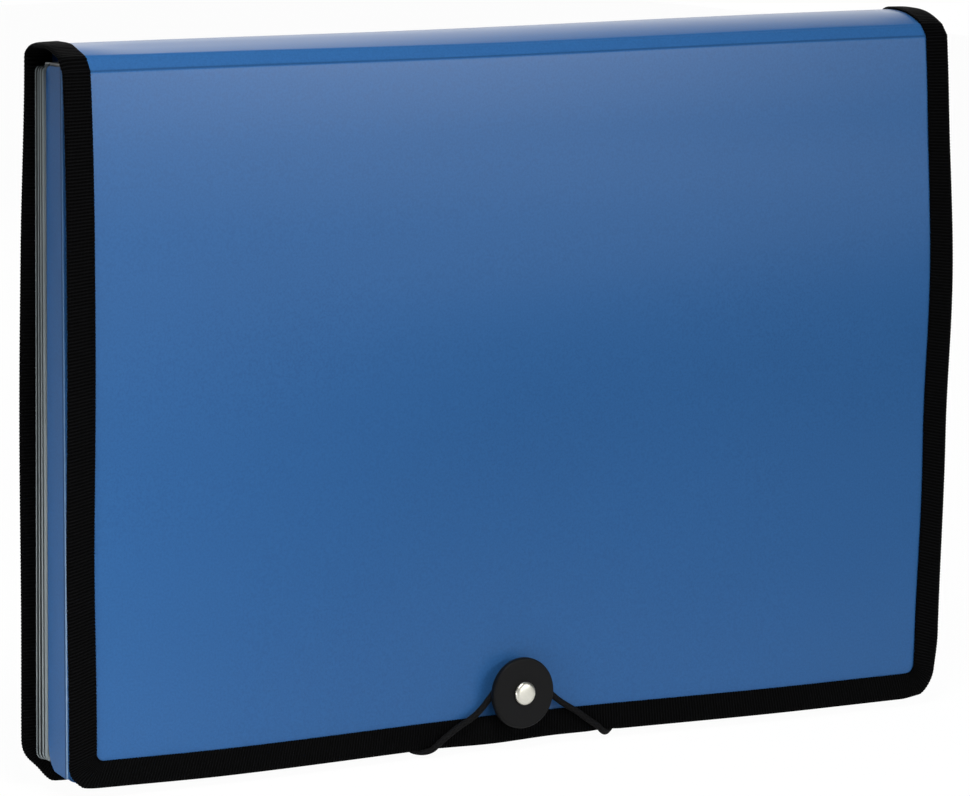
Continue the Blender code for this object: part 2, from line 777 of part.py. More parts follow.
def smooth_route(points, step):
    """Points about a step apart on a Catmull-Rom curve through the route's own points."""
    ends = [points[0], *points, points[-1]]
    dense = []
    for p0, p1, p2, p3 in zip(ends, ends[1:], ends[2:], ends[3:]):
        count = max(1, round(math.dist(p1, p2) / step))
        for index in range(count):
            t = index / count
            dense.append(
                tuple(
                    (2 * b + (c - a) * t + (2 * a - 5 * b + 4 * c - d) * t**2 + (3 * b - a - 3 * c + d) * t**3) / 2
                    for a, b, c, d in zip(p0, p1, p2, p3)
                )
            )
    dense.append(points[-1])
    return dense


def elastic(loop, pocket):
    """Elastic cord: out of a hole in the front panel, under the flap, round the button and back the same way."""
    right = [(BUTTON_X + across, depth, height) for across, depth, height in CORD_HALF_ROUTE]
    left = [(BUTTON_X - across, depth, height) for across, depth, height in reversed(CORD_HALF_ROUTE)]
    top = (BUTTON_X + CORD_TOP[0], CORD_TOP[1], CORD_TOP[2])
    route = smooth_route([*right, top, *left], CORD_STEP)
    curve = bpy.data.curves.new("cord_loop", "CURVE")
    curve.dimensions = "3D"
    curve.bevel_depth = CORD / 2
    curve.bevel_resolution = 2
    curve.use_fill_caps = True
    spline = curve.splines.new("POLY")
    spline.points.add(len(route) - 1)
    for point, place in zip(spline.points, route):
        point.co = (*place, 1.0)
    curve.materials.append(material("elastic"))
    cord = bpy.data.objects.new("cord_loop", curve)
    PARTS.objects.link(cord)
    loop.carry(cord)

    depth = CORD_HALF_ROUTE[0][1] + FIT + BARB_RADIUS
    for side, sign in (("left", -1), ("right", 1)):
        bm = bmesh.new()
        bmesh.ops.create_cone(
            bm, cap_ends=True, segments=ARC_STEPS * 2, radius1=BARB_RADIUS, radius2=BARB_RADIUS, depth=BARB_LENGTH
        )
        barb = mesh_object(f"cord_barb_{side}", bm, "nickel")
        barb.rotation_euler = (0.0, math.pi / 2, 0.0)
        pocket.carry(barb, (BUTTON_X + sign * CORD_HOLE_X, depth, CORD_HOLE_HEIGHT))


def smooth_shading():
    for piece in PARTS.objects:
        if piece.type == "MESH":
            piece.data.shade_smooth()
            piece.data.set_sharp_from_angle(angle=math.radians(30))


def build():
    run, front = top_fold(), flap_fold()
    back = Body("back", (0.0, BACK_DEPTH, POCKET_BOTTOM))
    top = Body("top", REAR_AXIS, back)
    flap = Body("flap", crease_axis(run, front), top)
    spin = Body("button", (BUTTON_X, button_seat() - FLAP_SEAT - SPACER - FIT, BUTTON_HEIGHT), flap)
    cover(back, top, flap, run, front)
    button(flap, spin)
    pocket = back
    for number in range(1, POCKET_COUNT):
        pocket = Body(f"pocket_{number}", (0.0, divider_depth(number), POCKET_BOTTOM), pocket)
        divider(number, pocket)
        gusset(number, pocket)
    pocket = Body(f"pocket_{POCKET_COUNT}", (0.0, POCKET_FRONT_DEPTH, POCKET_BOTTOM), pocket)
    front_gusset(pocket)
    front_panel(pocket)
    low_point = CORD_HALF_ROUTE[CORD_LOW_POINT]
    loop = Body("cord", (BUTTON_X, low_point[1], low_point[2]), pocket)
    elastic(loop, pocket)
    smooth_shading()
    bpy.context.view_layer.update()


for old in list(bpy.data.objects):
    bpy.data.objects.remove(old)
PARTS = collection("expanding_file_folder")
CUTTERS = collection("cutters")
build()
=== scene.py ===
"""Dresses the expanding file folder: cover sheet, ribbed tape, film bellows, button, elastic and stage."""

import bpy
import numpy as np
from bpy.props import FloatProperty, FloatVectorProperty, PointerProperty
from bpy.types import Operator, Panel, PropertyGroup
from mathutils import Matrix, Vector


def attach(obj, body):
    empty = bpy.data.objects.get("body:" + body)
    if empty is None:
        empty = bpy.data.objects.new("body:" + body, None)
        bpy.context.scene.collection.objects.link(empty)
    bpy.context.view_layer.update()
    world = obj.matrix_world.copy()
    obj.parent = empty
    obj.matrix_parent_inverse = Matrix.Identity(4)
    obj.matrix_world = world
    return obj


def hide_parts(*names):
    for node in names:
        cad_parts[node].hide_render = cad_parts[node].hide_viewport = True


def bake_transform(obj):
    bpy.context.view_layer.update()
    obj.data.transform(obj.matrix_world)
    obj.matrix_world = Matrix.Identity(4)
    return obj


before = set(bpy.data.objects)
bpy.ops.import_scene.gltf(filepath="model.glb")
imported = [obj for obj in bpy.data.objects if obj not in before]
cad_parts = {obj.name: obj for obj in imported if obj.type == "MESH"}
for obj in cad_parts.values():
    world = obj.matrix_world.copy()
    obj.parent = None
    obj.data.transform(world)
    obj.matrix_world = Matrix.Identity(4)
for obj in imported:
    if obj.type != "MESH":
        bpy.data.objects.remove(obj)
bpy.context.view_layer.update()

bl_info = {
    "name": "Expanding file folder",
    "version": (1, 0, 0),
    "blender": (4, 5, 0),
    "location": "3D Viewport > Sidebar > File Folder",
    "description": "Builds a closed expanding file: sheet, bound edges, film bellows, button and elastic",
    "category": "Object",
}

# Side view of the cover, in metres: depth grows from the flap's face to the back
SHIFT = -0.0133
MM = 0.001
REAR_FOLD = 0.2221
REAR_RADIUS = 0.0053
BACK_DEPTH = 0.0280
UPPER_CREASE = (0.0056, 0.2234)
LOWER_CREASE = (0.0029, 0.2202)
FLAP_DEPTH = 0.0004
FLAP_FOOT = 0.0027
BACK_FOOT = 0.0008
SHEET_EDGE = 0.1642
FLAP_LEAN_START = 0.1682
FLAP_BULGE = (0.0018, 0.0550, 0.1960)
FLAP_DRAW = (0.0055, 0.1150, 0.1500)
BACK_CORNERS = (0.0140, 0.0050)
FLAP_CORNERS = (0.0080, 0.0018)
BEVEL_SHARES = (0.05, 0.12, 0.3, 0.6, 0.88, 1.0)
SEAM_REACH = 0.0018
TAPE_WIDTH = 0.0096
RIB = 0.00102
WARP = 0.00046

# Bellows
PANEL_EDGE = 0.1600
FOOT = 0.0088
DIVIDER_TOP = 0.2194
DIVIDER_CORNER = 0.0025
DIVIDER_HALF = 0.0002
DIVIDER_MIDDLES = (0.0257, 0.0244, 0.0231, 0.0218)
BEADS = (0.00022, 0.00022, 0.00030, 0.00050)

# How the stack leans at its left end: depth at rest, at the top and at the foot,
# and reach inwards at the top and at the foot
STACK = (
    (0.0103, 0.0119, 0.0080, 0.0, 0.0),
    (0.0211, 0.0213, 0.0197, 0.0, 0.0),
    (0.0213, 0.0214, 0.0212, -0.00062, 0.00085),
    (0.0218, 0.0218, 0.0218, -0.00062, 0.00068),
    (0.0231, 0.0231, 0.0231, -0.00092, 0.00026),
    (0.0244, 0.0244, 0.0244, -0.00093, -0.00025),
    (0.0257, 0.0257, 0.0257, -0.00112, -0.00059),
    (0.0268, 0.0268, 0.0268, -0.00073, -0.00065),
)
TAB = (0.0640, 0.0520, 0.0040, 0.0015)

BACK_INNER_FACE = 0.0268

# Films, the number of points round a pleat's section, and how many of them from the section's front end
# the painted highlight on its turned edge is centred
FILM_TOP = 0.2215
FILM_REACH = 0.0180
FILM_END = 0.0020
PLEAT_RING = 46
PLEAT_HIGHLIGHT = 4.2
FILM_LAP = ((0.0010, -0.0001), (0.0008, -0.0005), (0.0008, -0.004), (0.0008, -0.008))

# Front panel with its turned-in wings: the bottom fold's centre (depth, height) and radius, and
# (depth, lower edge's height) along a side wing
FRONT_MIDDLE = 0.0107
FRONT_FOLD = 0.00045
FRONT_TOP = 0.2206
WING_END = 0.0211
FRONT_FOOT = 0.0034
FRONT_CORNER = 0.0025
FOOT_HALF = 0.1520
FOOT_MIDDLE = 0.0026
FOOT_FOLD = (0.0117, 0.0036, 0.0010)
WING_FOOT = ((0.0107, 0.0051), (0.0176, 0.0064), (0.0192, 0.0082), (0.0204, 0.0106), (0.0211, 0.0140))

# Button and elastic: the disc's rear face and the rivet head's foot are depths
BUTTON_HEIGHT = 0.0184
DISC_REAR = 0.0019
RIVET_FOOT = -0.0004
CORD_HALF_ROUTE = (
    (0.0481, 0.0119, 0.0124),
    (0.0481, 0.0111, 0.0124),
    (0.0478, 0.0095, 0.0122),
    (0.0471, 0.0082, 0.0118),
    (0.0460, 0.0072, 0.0108),
    (0.0446, 0.0069, 0.0097),
    (0.0422, 0.0071, 0.0071),
    (0.0399, 0.0072, 0.0044),
    (0.0373, 0.0066, 0.0017),
    (0.0346, 0.0046, 0.0011),
    (0.0323, 0.0030, 0.0020),
    (0.0303, 0.0024, 0.0039),
    (0.0275, 0.0025, 0.0062),
    (0.0200, 0.0028, 0.0118),
    (0.0110, 0.0032, 0.0185),
    (0.0062, 0.0034, 0.0221),
    (0.0034, 0.0035, 0.0242),
)
CORD_TOP = (0.0, 0.0035, 0.0251)
BRAID = 0.0026
BRAID_THREADS = 6

# Millimetres: the folded tape's outer and inner face (in from the sheet's edge, out from its middle) as
# far as the sheet's middle, and the disc and the rivet's head as (radius, height)
TAPE_FACES = (
    (
        (8.50, 0.62), (8.50, 0.92), (8.36, 1.10), (8.05, 1.17), (7.0, 1.16), (5.0, 1.12), (3.2, 1.08),
        (1.8, 1.02), (0.8, 0.91), (0.10, 0.73), (-0.38, 0.46), (-0.60, 0.21), (-0.65, 0.0),
    ),
    ((8.30, -0.48), (4.0, -0.46), (0.05, -0.44), (-0.10, 0.0)),
)
DISC_PROFILE = (
    (0.05, 0.02), (4.0, 0.0), (9.0, 0.0), (10.6, 0.0), (10.92, 0.08), (11.13, 0.28), (11.25, 0.62),
    (11.25, 1.78), (11.15, 2.10), (10.95, 2.30), (10.6, 2.40), (10.1, 2.40), (8.0, 2.36), (4.9, 2.34),
    (4.3, 2.28), (0.05, 2.26),
)
RIVET_PROFILE = (
    (0.05, 0.0), (3.25, 0.0), (3.55, 0.08), (3.70, 0.30), (3.72, 0.52), (3.65, 0.78), (3.48, 1.02),
    (3.2, 1.22), (2.8, 1.38), (2.15, 1.50), (1.3, 1.57), (0.6, 1.60), (0.05, 1.61),
)

# Angles in radians beyond which an edge is shown sharp: on sheets, and on films and turned pieces
SHARP_SHEET = 0.7
SHARP_TURN = 0.9

WHITE = (1.0, 1.0, 1.0, 1.0)

# Camera: place in metres, azimuth, elevation and roll in degrees
CAMERA_PLACE = (-1.070874, -1.607372 + SHIFT, 0.369385)
CAMERA_TURNS = (-33.286, 7.59, 0.545)
FOCAL_MM = 231.06

# Area lights: place, target, size in metres and power in watts
SOFTBOXES = {
    "top_softbox": ((-0.22, -0.40, 0.72), (-0.08, 0.0, 0.2), (0.3, 0.3), 4.1),
    "front_softbox": ((0.25, -1.6, 0.12), (0.0, 0.0, 0.06), (0.3, 0.3), 2.1),
    "right_softbox": ((0.75, -1.3, 0.40), (0.0, 0.0, 0.18), (0.4, 0.25), 4.6),
    "rim_softbox": ((0.77, 1.17, 0.85), (0.0, 0.0, 0.227), (0.9, 0.9), 2.4),
    "left_card": ((-0.34, -0.12, 0.01), (-0.16, 0.0, 0.0), (0.16, 0.05), 0.34),
    "back_softbox": ((-0.20, 1.6, 0.12), (0.0, 0.0, 0.10), (0.5, 0.2), 4.5),
}


class Wire:
    """A node's output that takes part in Python arithmetic; each operation adds a Math node."""

    def __init__(self, tree, socket):
        self.tree = tree
        self.socket = socket

    def _math(self, operation, first, second=0.0):
        node = self.tree.nodes.new("ShaderNodeMath")
        node.operation = operation
        for slot, value in zip(node.inputs, (first, second)):
            feed(self.tree, slot, value)
        return Wire(self.tree, node.outputs[0])

    def __add__(self, other):
        return self._math("ADD", self, other)

    __radd__ = __add__

    def __sub__(self, other):
        return self._math("SUBTRACT", self, other)

    def __rsub__(self, other):
        return self._math("SUBTRACT", other, self)

    def __mul__(self, other):
        return self._math("MULTIPLY", self, other)

    __rmul__ = __mul__

    def __abs__(self):
        return self._math("ABSOLUTE", self)

    def sine(self):
        return self._math("SINE", self)

    def least(self, other):
        return self._math("MINIMUM", self, other)

    def most(self, other):
        return self._math("MAXIMUM", self, other)


def feed(tree, slot, value):
    """Links a wire to a node's input, or sets the input to a constant."""
    if isinstance(value, Wire):
        tree.links.new(value.socket, slot)
    else:
        slot.default_value = value


class Finish:
    """One procedural material, or a world's light, under construction."""

    def __init__(self, name, world=None):
        self.data = world or bpy.data.materials.new(name)
        self.data.use_nodes = True
        self.tree = self.data.node_tree
        self.tree.nodes.clear()
        self.output = self.tree.nodes.new("ShaderNodeOutputWorld" if world else "ShaderNodeOutputMaterial")

    def node(self, kind, settings=None, inputs=None, output=0):
        """Adds a node: its settings first, then the values or links of its inputs by name or number."""
        made = self.tree.nodes.new(kind)
        for key, value in (settings or {}).items():
            setattr(made, key, value)
        for key, value in (inputs or {}).items():
            feed(self.tree, made.inputs[key], value)
        return Wire(self.tree, made.outputs[output])

    def place(self):
        """Object coordinates, in metres, which are the folder's own."""
        return self.node("ShaderNodeTexCoord", output="Object")

    def lengthwise(self):
        """The piece's own map: metres along it and the share round or across it."""
        return self.split(self.node("ShaderNodeUVMap", {"uv_map": "lie"}))

    def split(self, vector):
        """The three numbers of a vector."""
        made = self.node("ShaderNodeSeparateXYZ", {}, {0: vector}).socket.node
        return [Wire(self.tree, socket) for socket in made.outputs]

    def rays(self):
        """Whether the light comes by a camera, a glossy or a transmission ray, each 0 or 1."""
        path = self.node("ShaderNodeLightPath").socket.node
        kinds = ("Camera", "Glossy", "Transmission")
        return [Wire(self.tree, path.outputs[f"Is {kind} Ray"]) for kind in kinds]

    def noise(self, scale, detail=2.0, roughness=0.5, stretch=None):
        """Noise from 0 to 1 on the folder's coordinates; scale is in waves a metre."""
        vector = self.place()
        if stretch:
            vector = self.node("ShaderNodeMapping", {}, {"Vector": vector, "Scale": stretch})
        values = {"Vector": vector, "Scale": scale, "Detail": detail, "Roughness": roughness}
        return self.node("ShaderNodeTexNoise", {}, values)

    def cells(self, scale):
        """Distance to the nearest cell's middle, for pebbled grain."""
        values = {"Vector": self.place(), "Scale": scale}
        return self.node("ShaderNodeTexVoronoi", {"feature": "F1"}, values)

    def blend(self, share, first, second):
        """A colour between two, by a share from 0 to 1."""
        inputs = {0: share, 6: first, 7: second}
        return self.node("ShaderNodeMix", {"data_type": "RGBA", "clamp_factor": True}, inputs, 2)

    def step(self, value, low, high):
        """0 below low, 1 above high and straight between them."""
        values = {"Value": value, "From Min": low, "From Max": high}
        return self.node("ShaderNodeMapRange", {"clamp": True}, values)

    def bump(self, height, distance, strength, normal=None):
        """Normal bent by a height from 0 to 1 that stands for the distance in metres."""
        values = {"Height": height, "Distance": distance, "Strength": strength}
        if normal:
            values["Normal"] = normal
        return self.node("ShaderNodeBump", {}, values)

    def end(self, shader):
        """Ends the tree in this shader."""
        self.tree.links.new(shader.socket, self.output.inputs["Surface"])

    def surface(self, base, rough, relief, **others):
        """Ends the material in a Principled shader with a bump; other inputs have underscores for spaces."""
        named = {"Base Color": base, "Roughness": rough, "Normal": self.bump(*relief)}
        named |= {key.replace("_", " "): value for key, value in others.items()}
        self.end(self.node("ShaderNodeBsdfPrincipled", {}, named))
        return self.data


def tone(rgb, factor=1.0):
    """A colour with its alpha, darkened or lightened by a factor."""
    return (*(part * factor for part in rgb), 1.0)


def pp_sheet(name, colours, girth=0.0, crease=None, sheen=0.3):
    """Blue polypropylene: fine pebbled grain, specks of darker pigment and a slight waviness.

    With a girth it has painted shade at the start of the wings' front folds and a painted highlight along
    them, with some whitening of the folded sheet, and with a crease a dark line of painted shade at that
    length.
    """
    finish = Finish(name)
    pigment = finish.noise(1500, 2.0, 0.6)
    clouds = finish.noise(14)
    grain = finish.cells(1400)
    fine = finish.noise(2600, 1.0)
    base = finish.blend(finish.step(pigment, 0.36, 0.62), tone(colours.sheet, 0.86), tone(colours.sheet))
    base = finish.blend(finish.step(clouds, 0.3, 0.7) * 0.10, base, tone(colours.sheet, 1.15))
    if girth:
        along, height, _ = finish.lengthwise()
        along = along.least(girth - along)
        corner = WING_END - FRONT_MIDDLE - FRONT_FOLD
        # Painted shade: a dark band on the wing where its front fold starts.
        fold_shade = finish.step(along, corner - 0.0005, corner - 0.0003)
        fold_shade = fold_shade * finish.step(along, corner + 0.0002, corner)
        base = finish.blend(fold_shade * 0.6, base, (0.004, 0.016, 0.060, 1.0))
        # Painted highlight: a pale line along the wing's front fold, brighter towards the foot where more
        # light falls, with some whitening of the folded sheet.
        painted_highlight = finish.step(along, corner + 0.00014, corner + 0.0002)
        painted_highlight = painted_highlight * finish.step(along, corner + 0.00042, corner + 0.00036)
        painted_highlight = painted_highlight * (finish.step(height, 0.2200, 0.0200) * 0.35 + 0.15)
        base = finish.blend(painted_highlight, base, (0.42, 0.60, 0.76, 1.0))
    if crease is not None:
        along, _, _ = finish.lengthwise()
        # Painted shade: a dark line along the crease.
        line = 1.0 - finish.step(abs(along - crease), 0.00012, 0.00045)
        base = finish.blend(line * 0.55, base, tone(colours.sheet, 0.35))
    pebble = finish.bump(grain + fine * 0.6, 0.00003, 0.2)
    wave = (finish.noise(9, 1.0), 0.0006, 0.15, pebble)
    rough = 0.30 + finish.step(pigment, 0.3, 0.7) * 0.05
    return finish.surface(base, rough, wave, Specular_IOR_Level=0.25, Sheen_Weight=sheen, Sheen_Roughness=0.3)


def ribbed_tape(name, colours):
    """Woven binding tape: ribs across it and fine warp threads, with painted shade between the ribs and a
    painted highlight on their crests.
    """
    finish = Finish(name)
    along, across, _ = finish.lengthwise()
    rib = (along * (2 * np.pi / RIB)).sine() * 0.5 + 0.5
    warp = (across * (2 * np.pi / WARP)).sine() * 0.5 + 0.5
    fuzz = finish.noise(3500)
    height = rib * 0.75 + warp * (0.15 + 0.1 * fuzz) + fuzz * 0.15
    # Painted highlight on the rib crests and painted shade between them, broken up by fuzz noise.
    painted_highlight = finish.step(rib * 0.75 + fuzz * 0.6, 0.60, 1.2)
    base = finish.blend(painted_highlight, tone(colours.tape, 0.1), tone(colours.tape, 2.1))
    return finish.surface(base, 0.62 + fuzz * 0.2, (height, 0.00035, 0.9), Specular_IOR_Level=0.04)


def braided_elastic(name, colours):
    """Round elastic with a braided jacket: two sets of threads that wind round it in opposite turns."""
    finish = Finish(name)
    along, around, _ = finish.lengthwise()
    turn = along * (2 * np.pi / BRAID)
    wound = around * (2 * np.pi * BRAID_THREADS)
    one = (turn + wound).sine() * 0.5 + 0.5
    two = (turn - wound).sine() * 0.5 + 0.5
    thread = one.most(two)
    fuzz = finish.noise(4200)
    # Painted shade between the threads and painted highlight on them.
    shade = finish.step(thread + fuzz * 0.3, 0.5, 1.25)
    base = finish.blend(shade, tone(colours.cord, 0.5), tone(colours.cord, 1.6))
    relief = (thread + fuzz * 0.2, 0.00012, 0.7)
    return finish.surface(base, 0.66 + fuzz * 0.2, relief, Specular_IOR_Level=0.12)


def clear_film(name, colours):
    """Bellows film, painted dark as shade where it is folded away, with a painted highlight along its turned
    side edges and a whiter painted highlight at its top edge.
    """
    finish = Finish(name)
    across, depth, height = finish.split(finish.place())
    _, around, _ = finish.lengthwise()
    haze = finish.noise(320, 3.0)
    marks = finish.noise(40, 3.0, 0.6, (1.0, 1.0, 0.2))
    # Painted shade: the film's colour darkened to about a tenth, for the shade inside the folds.
    base = finish.blend(haze, tone(colours.film, 0.07), tone(colours.film, 0.11))
    # Painted highlight: a pale line along each turned side edge, over the whole of the frontmost folds and
    # dimmer towards the back of the stack.
    from_front = abs(around * PLEAT_RING - (PLEAT_RING - 1) / 2)
    edge = 1.0 - finish.step(abs(from_front - PLEAT_HIGHLIGHT), 1.1, 1.8)
    last = finish.step(depth, 0.0217 + SHIFT, 0.0215 + SHIFT)
    edge = edge.most(last * 0.7)
    pale = finish.blend(marks, tone(colours.film, 0.42), tone(colours.film, 0.85))
    rearmost = finish.step(depth, 0.0246 + SHIFT, 0.0250 + SHIFT)
    pale = finish.blend(rearmost, pale, tone(colours.film, 0.5))
    end = finish.step(abs(across), PANEL_EDGE - 0.0016, PANEL_EDGE - 0.0012)
    base = finish.blend(edge * end, base, pale)
    # Painted highlight: near white along the film's top edge.
    top = finish.step(height, FILM_TOP - 0.0006, FILM_TOP - 0.0004)
    base = finish.blend(top, base, (0.80, 0.83, 0.84, 1.0))
    return finish.surface(base, 0.30 + haze * 0.18, (haze, 0.00006, 0.5), IOR=1.49)


def divider_stock(name, colours):
    """Divider sheet with a fine matt grain, painted dark as shade on its faces; its cut top edge keeps the
    film's own colour.
    """
    finish = Finish(name)
    _, _, height = finish.split(finish.place())
    grain = finish.noise(2200)
    clouds = finish.noise(25)
    # Painted shade: the film's colour darkened to about a sixth on the divider's faces.
    base = finish.blend(clouds, tone(colours.film, 0.14), tone(colours.film, 0.18))
    base = finish.blend(finish.step(height, 0.2189, 0.2192), base, tone(colours.film))
    return finish.surface(base, 0.34 + grain * 0.14, (grain, 0.00005, 0.5))


def label_card(name):
    """Blank index card: off-white paper with fibres."""
    finish = Finish(name)
    fibre = finish.noise(900, 4.0, 0.65, (1.0, 1.0, 3.5))
    specks = finish.noise(3000)
    base = finish.blend(finish.step(fibre, 0.35, 0.7), (0.74, 0.73, 0.69, 1.0), (0.83, 0.82, 0.79, 1.0))
    return finish.surface(base, 0.75 + specks * 0.15, (fibre * 0.7 + specks * 0.3, 0.00004, 0.6))


def button_moulding(name, colours):
    """Matt black moulded plastic with spark-eroded texture and faint rubbing in patches."""
    finish = Finish(name)
    grain = finish.noise(2800, 2.0, 0.6)
    rub = finish.noise(260, 3.0, 0.6)
    grey = finish.step(grain * 0.6 + rub * 0.4, 0.35, 0.7)
    base = finish.blend(grey, tone(colours.button, 0.8), tone(colours.button))
    return finish.surface(base, 0.46 + rub * 0.14, (grain, 0.00005, 0.5), Specular_IOR_Level=0.15)


def nickel_plate(name):
    """Nickel plate, bright but a little uneven, with fine hammering from the riveting."""
    finish = Finish(name)
    dents = finish.noise(520)
    haze = finish.noise(1800, 3.0)
    base = finish.blend(haze, (0.78, 0.76, 0.67, 1.0), (0.90, 0.88, 0.78, 1.0))
    return finish.surface(base, 0.34 + haze * 0.12, (dents, 0.00010, 0.5), Metallic=1.0)


def placed(name, data):
    """Puts a mesh, light or camera into the scene as an object at the origin, unturned."""
    made = bpy.data.objects.new(name, data)
    bpy.context.scene.collection.objects.link(made)
    return made


def together(*values):
    """Coordinates side by side on a new last axis, each spread to the shape that they share."""
    return np.stack(np.broadcast_arrays(*values), axis=-1)


def unit(vectors):
    """Vectors on the last axis, each divided by its length."""
    return vectors / np.linalg.norm(vectors, axis=-1, keepdims=True)


def lengths(points):
    """Length walked along a row of points, from 0 at the first."""
    return np.concatenate([[0.0], np.cumsum(np.linalg.norm(np.diff(points, axis=0), axis=1))])


def ringed_mesh(name, points, lie):
    """Closed mesh of rings, rows by columns of points, capped at both ends.

    lie maps each corner as (along, round), with one column more than the points have.
    """
    rows, columns = points.shape[:2]
    row, column = np.meshgrid(np.arange(rows - 1), np.arange(columns), indexing="ij")
    near, following = row * columns, (column + 1) % columns
    far = near + columns
    quads = np.stack([near + column, near + following, far + following, far + column], axis=-1)
    corners = [lie[row, column], lie[row, column + 1], lie[row + 1, column + 1], lie[row + 1, column]]
    corners = np.stack(corners, axis=2).reshape(-1, 2)
    first = list(range(columns))
    last = [(rows - 1) * columns + index for index in first]
    faces = quads.reshape(-1, 4).tolist() + [first[::-1], last]
    corners = np.concatenate([corners, lie[0, :columns][::-1], lie[-1, :columns]])
    mesh = bpy.data.meshes.new(name)
    mesh.from_pydata(points.reshape(-1, 3).tolist(), [], faces)
    layer = mesh.uv_layers.new(name="lie")
    layer.data.foreach_set("uv", corners.astype(np.float32).ravel())
    mesh.update()
    mesh.shade_smooth()
    face_outward(mesh)
    return placed(name, mesh)


def walled_mesh(name, middle, normal, thickness, lie):
    """Closed sheet: the section through its wall, front out and back in, carried over the whole grid."""
    half = normal * (thickness / 2)
    ring = np.concatenate([middle + half, (middle - half)[:, ::-1]], axis=1)
    return ringed_mesh(name, ring, np.concatenate([lie, lie[:, ::-1], lie[:, :1]], axis=1))


def swept_mesh(name, points, length, around=None):
    """Closed mesh of a ring carried along a path, mapped by length and by place or share round the ring."""
    if around is None:
        around = np.linspace(0, 1, points.shape[1] + 1)
    return ringed_mesh(name, points, together(length[:, None], around))


def finished(piece, material, sharp=None):
    """Gives a piece its material slot and finish, and marks edges sharper than an angle."""
    piece.data.materials.append(material)
    if sharp:
        piece.data.set_sharp_from_angle(angle=sharp)


def face_outward(mesh):
    """Turns the faces out if the closed mesh came out inside out, by the sign of its volume."""
    mesh.calc_loop_triangles()
    corners = np.empty(len(mesh.loop_triangles) * 3, dtype=np.int32)
    mesh.loop_triangles.foreach_get("vertices", corners)
    points = np.empty(len(mesh.vertices) * 3)
    mesh.vertices.foreach_get("co", points)
    a, b, c = np.moveaxis(points.reshape(-1, 3)[corners.reshape(-1, 3)], 1, 0)
    if np.einsum("ij,ij->i", a, np.cross(b, c)).sum() < 0:
        mesh.flip_normals()


def half_wave(value, low, high):
    """Hump: the squared sine of the share between low and high, nothing outside."""
    share = np.clip((value - low) / (high - low), 0.0, 1.0)
    return np.sin(np.pi * share) ** 2


def flap_draw(across, height):
    """How far the elastic draws the flap in: two humps multiplied, most at the bottom middle."""
    reach, half_width, half_height = FLAP_DRAW
    side = half_wave(across, -half_width, half_width)
    return reach * side * half_wave(height, -half_height, half_height)


def flap_bulge(across, height):
    """How far the flap bows out between its ends: a hump, higher and larger towards the right."""
    share = np.clip(across / SHEET_EDGE / 2 + 0.5, 0.0, 1.0)
    reach, low, high = FLAP_BULGE
    return -reach * (0.45 + 0.75 * share) * half_wave(height, low + 0.035 * share, high)


def flap_depth(height):
    """Depth of the flap before it bows: a parabola leaning in above the lean's start."""
    share = np.maximum(height - FLAP_LEAN_START, 0.0) / (LOWER_CREASE[1] - FLAP_LEAN_START)
    return FLAP_DEPTH + (LOWER_CREASE[0] - FLAP_DEPTH) * share**2


class Run:
    """The cover in side view: points (depth, height) walked by length, and the normal away from the pockets.

    The flap's run starts at the seam with the top and bows. The other one ends there.
    """

    def __init__(self, points, flap):
        self.points = points
        self.flap = flap
        self.stops = lengths(self.points)
        self.length = self.stops[-1]
        tangent = unit(np.gradient(self.points, self.stops, axis=0))
        self.normals = together(tangent[:, 1], -tangent[:, 0])

    def at(self, along):
        """Depth, height and normal at lengths along the run, straight between its points."""
        depth, height, out, up = (
            np.interp(along, self.stops, values) for values in (*self.points.T, *self.normals.T)
        )
        seam = 0.0 if self.flap else self.length
        near = np.clip(1.0 - np.abs(along - seam) / SEAM_REACH, 0.0, 1.0)
        mitre = seam_normal()
        out = out + (mitre[0] - out) * near
        up = up + (mitre[1] - up) * near
        size = np.hypot(out, up)
        return depth, height, out / size, up / size

    def bow(self, across, height):
        """How far the flap stands in or out at a place; the rest of the cover stays straight."""
        return flap_draw(across, height) + flap_bulge(across, height) if self.flap else 0.0


def seam_normal():
    """Normal half way between the bevel's and the flap's, so that their pieces meet without a gap."""
    bevel = np.subtract(LOWER_CREASE, UPPER_CREASE)
    flap = np.array([-2 * (LOWER_CREASE[0] - FLAP_DEPTH) / (LOWER_CREASE[1] - FLAP_LEAN_START), -1.0])
    tangent = unit(unit(bevel) + unit(flap))
    return tangent[1], -tangent[0]


def rear_run():
    """Up the back, a quarter circle round the rear corner, a parabola down the dome and the short bevel."""
    up = np.linspace(BACK_FOOT, REAR_FOLD, 60)
    angle = np.linspace(0, np.pi / 2, 15)[1:]
    centre = BACK_DEPTH - REAR_RADIUS
    share = np.linspace(1, 0, 31)[1:]
    rise = (REAR_FOLD + REAR_RADIUS - UPPER_CREASE[1]) * (1 - (1 - share) ** 2)
    bevel = UPPER_CREASE + np.array(BEVEL_SHARES)[:, None] * np.subtract(LOWER_CREASE, UPPER_CREASE)
    points = [
        together(BACK_DEPTH, up),
        together(centre + REAR_RADIUS * np.cos(angle), REAR_FOLD + REAR_RADIUS * np.sin(angle)),
        together(UPPER_CREASE[0] + (centre - UPPER_CREASE[0]) * share, UPPER_CREASE[1] + rise),
        bevel,
    ]
    return Run(np.concatenate(points), False)


def front_run():
    """Down the flap from the lower crease, by the flap's own depth formula."""
    height = np.concatenate([np.linspace(LOWER_CREASE[1], 0.19, 20), np.linspace(0.189, FLAP_FOOT, 90)])
    return Run(together(flap_depth(height), height), True)


def ramp(value, low, high):
    """Smooth step from 0 at low to 1 at high."""
    share = np.clip((value - low) / (high - low), 0.0, 1.0)
    return share * share * (3 - 2 * share)


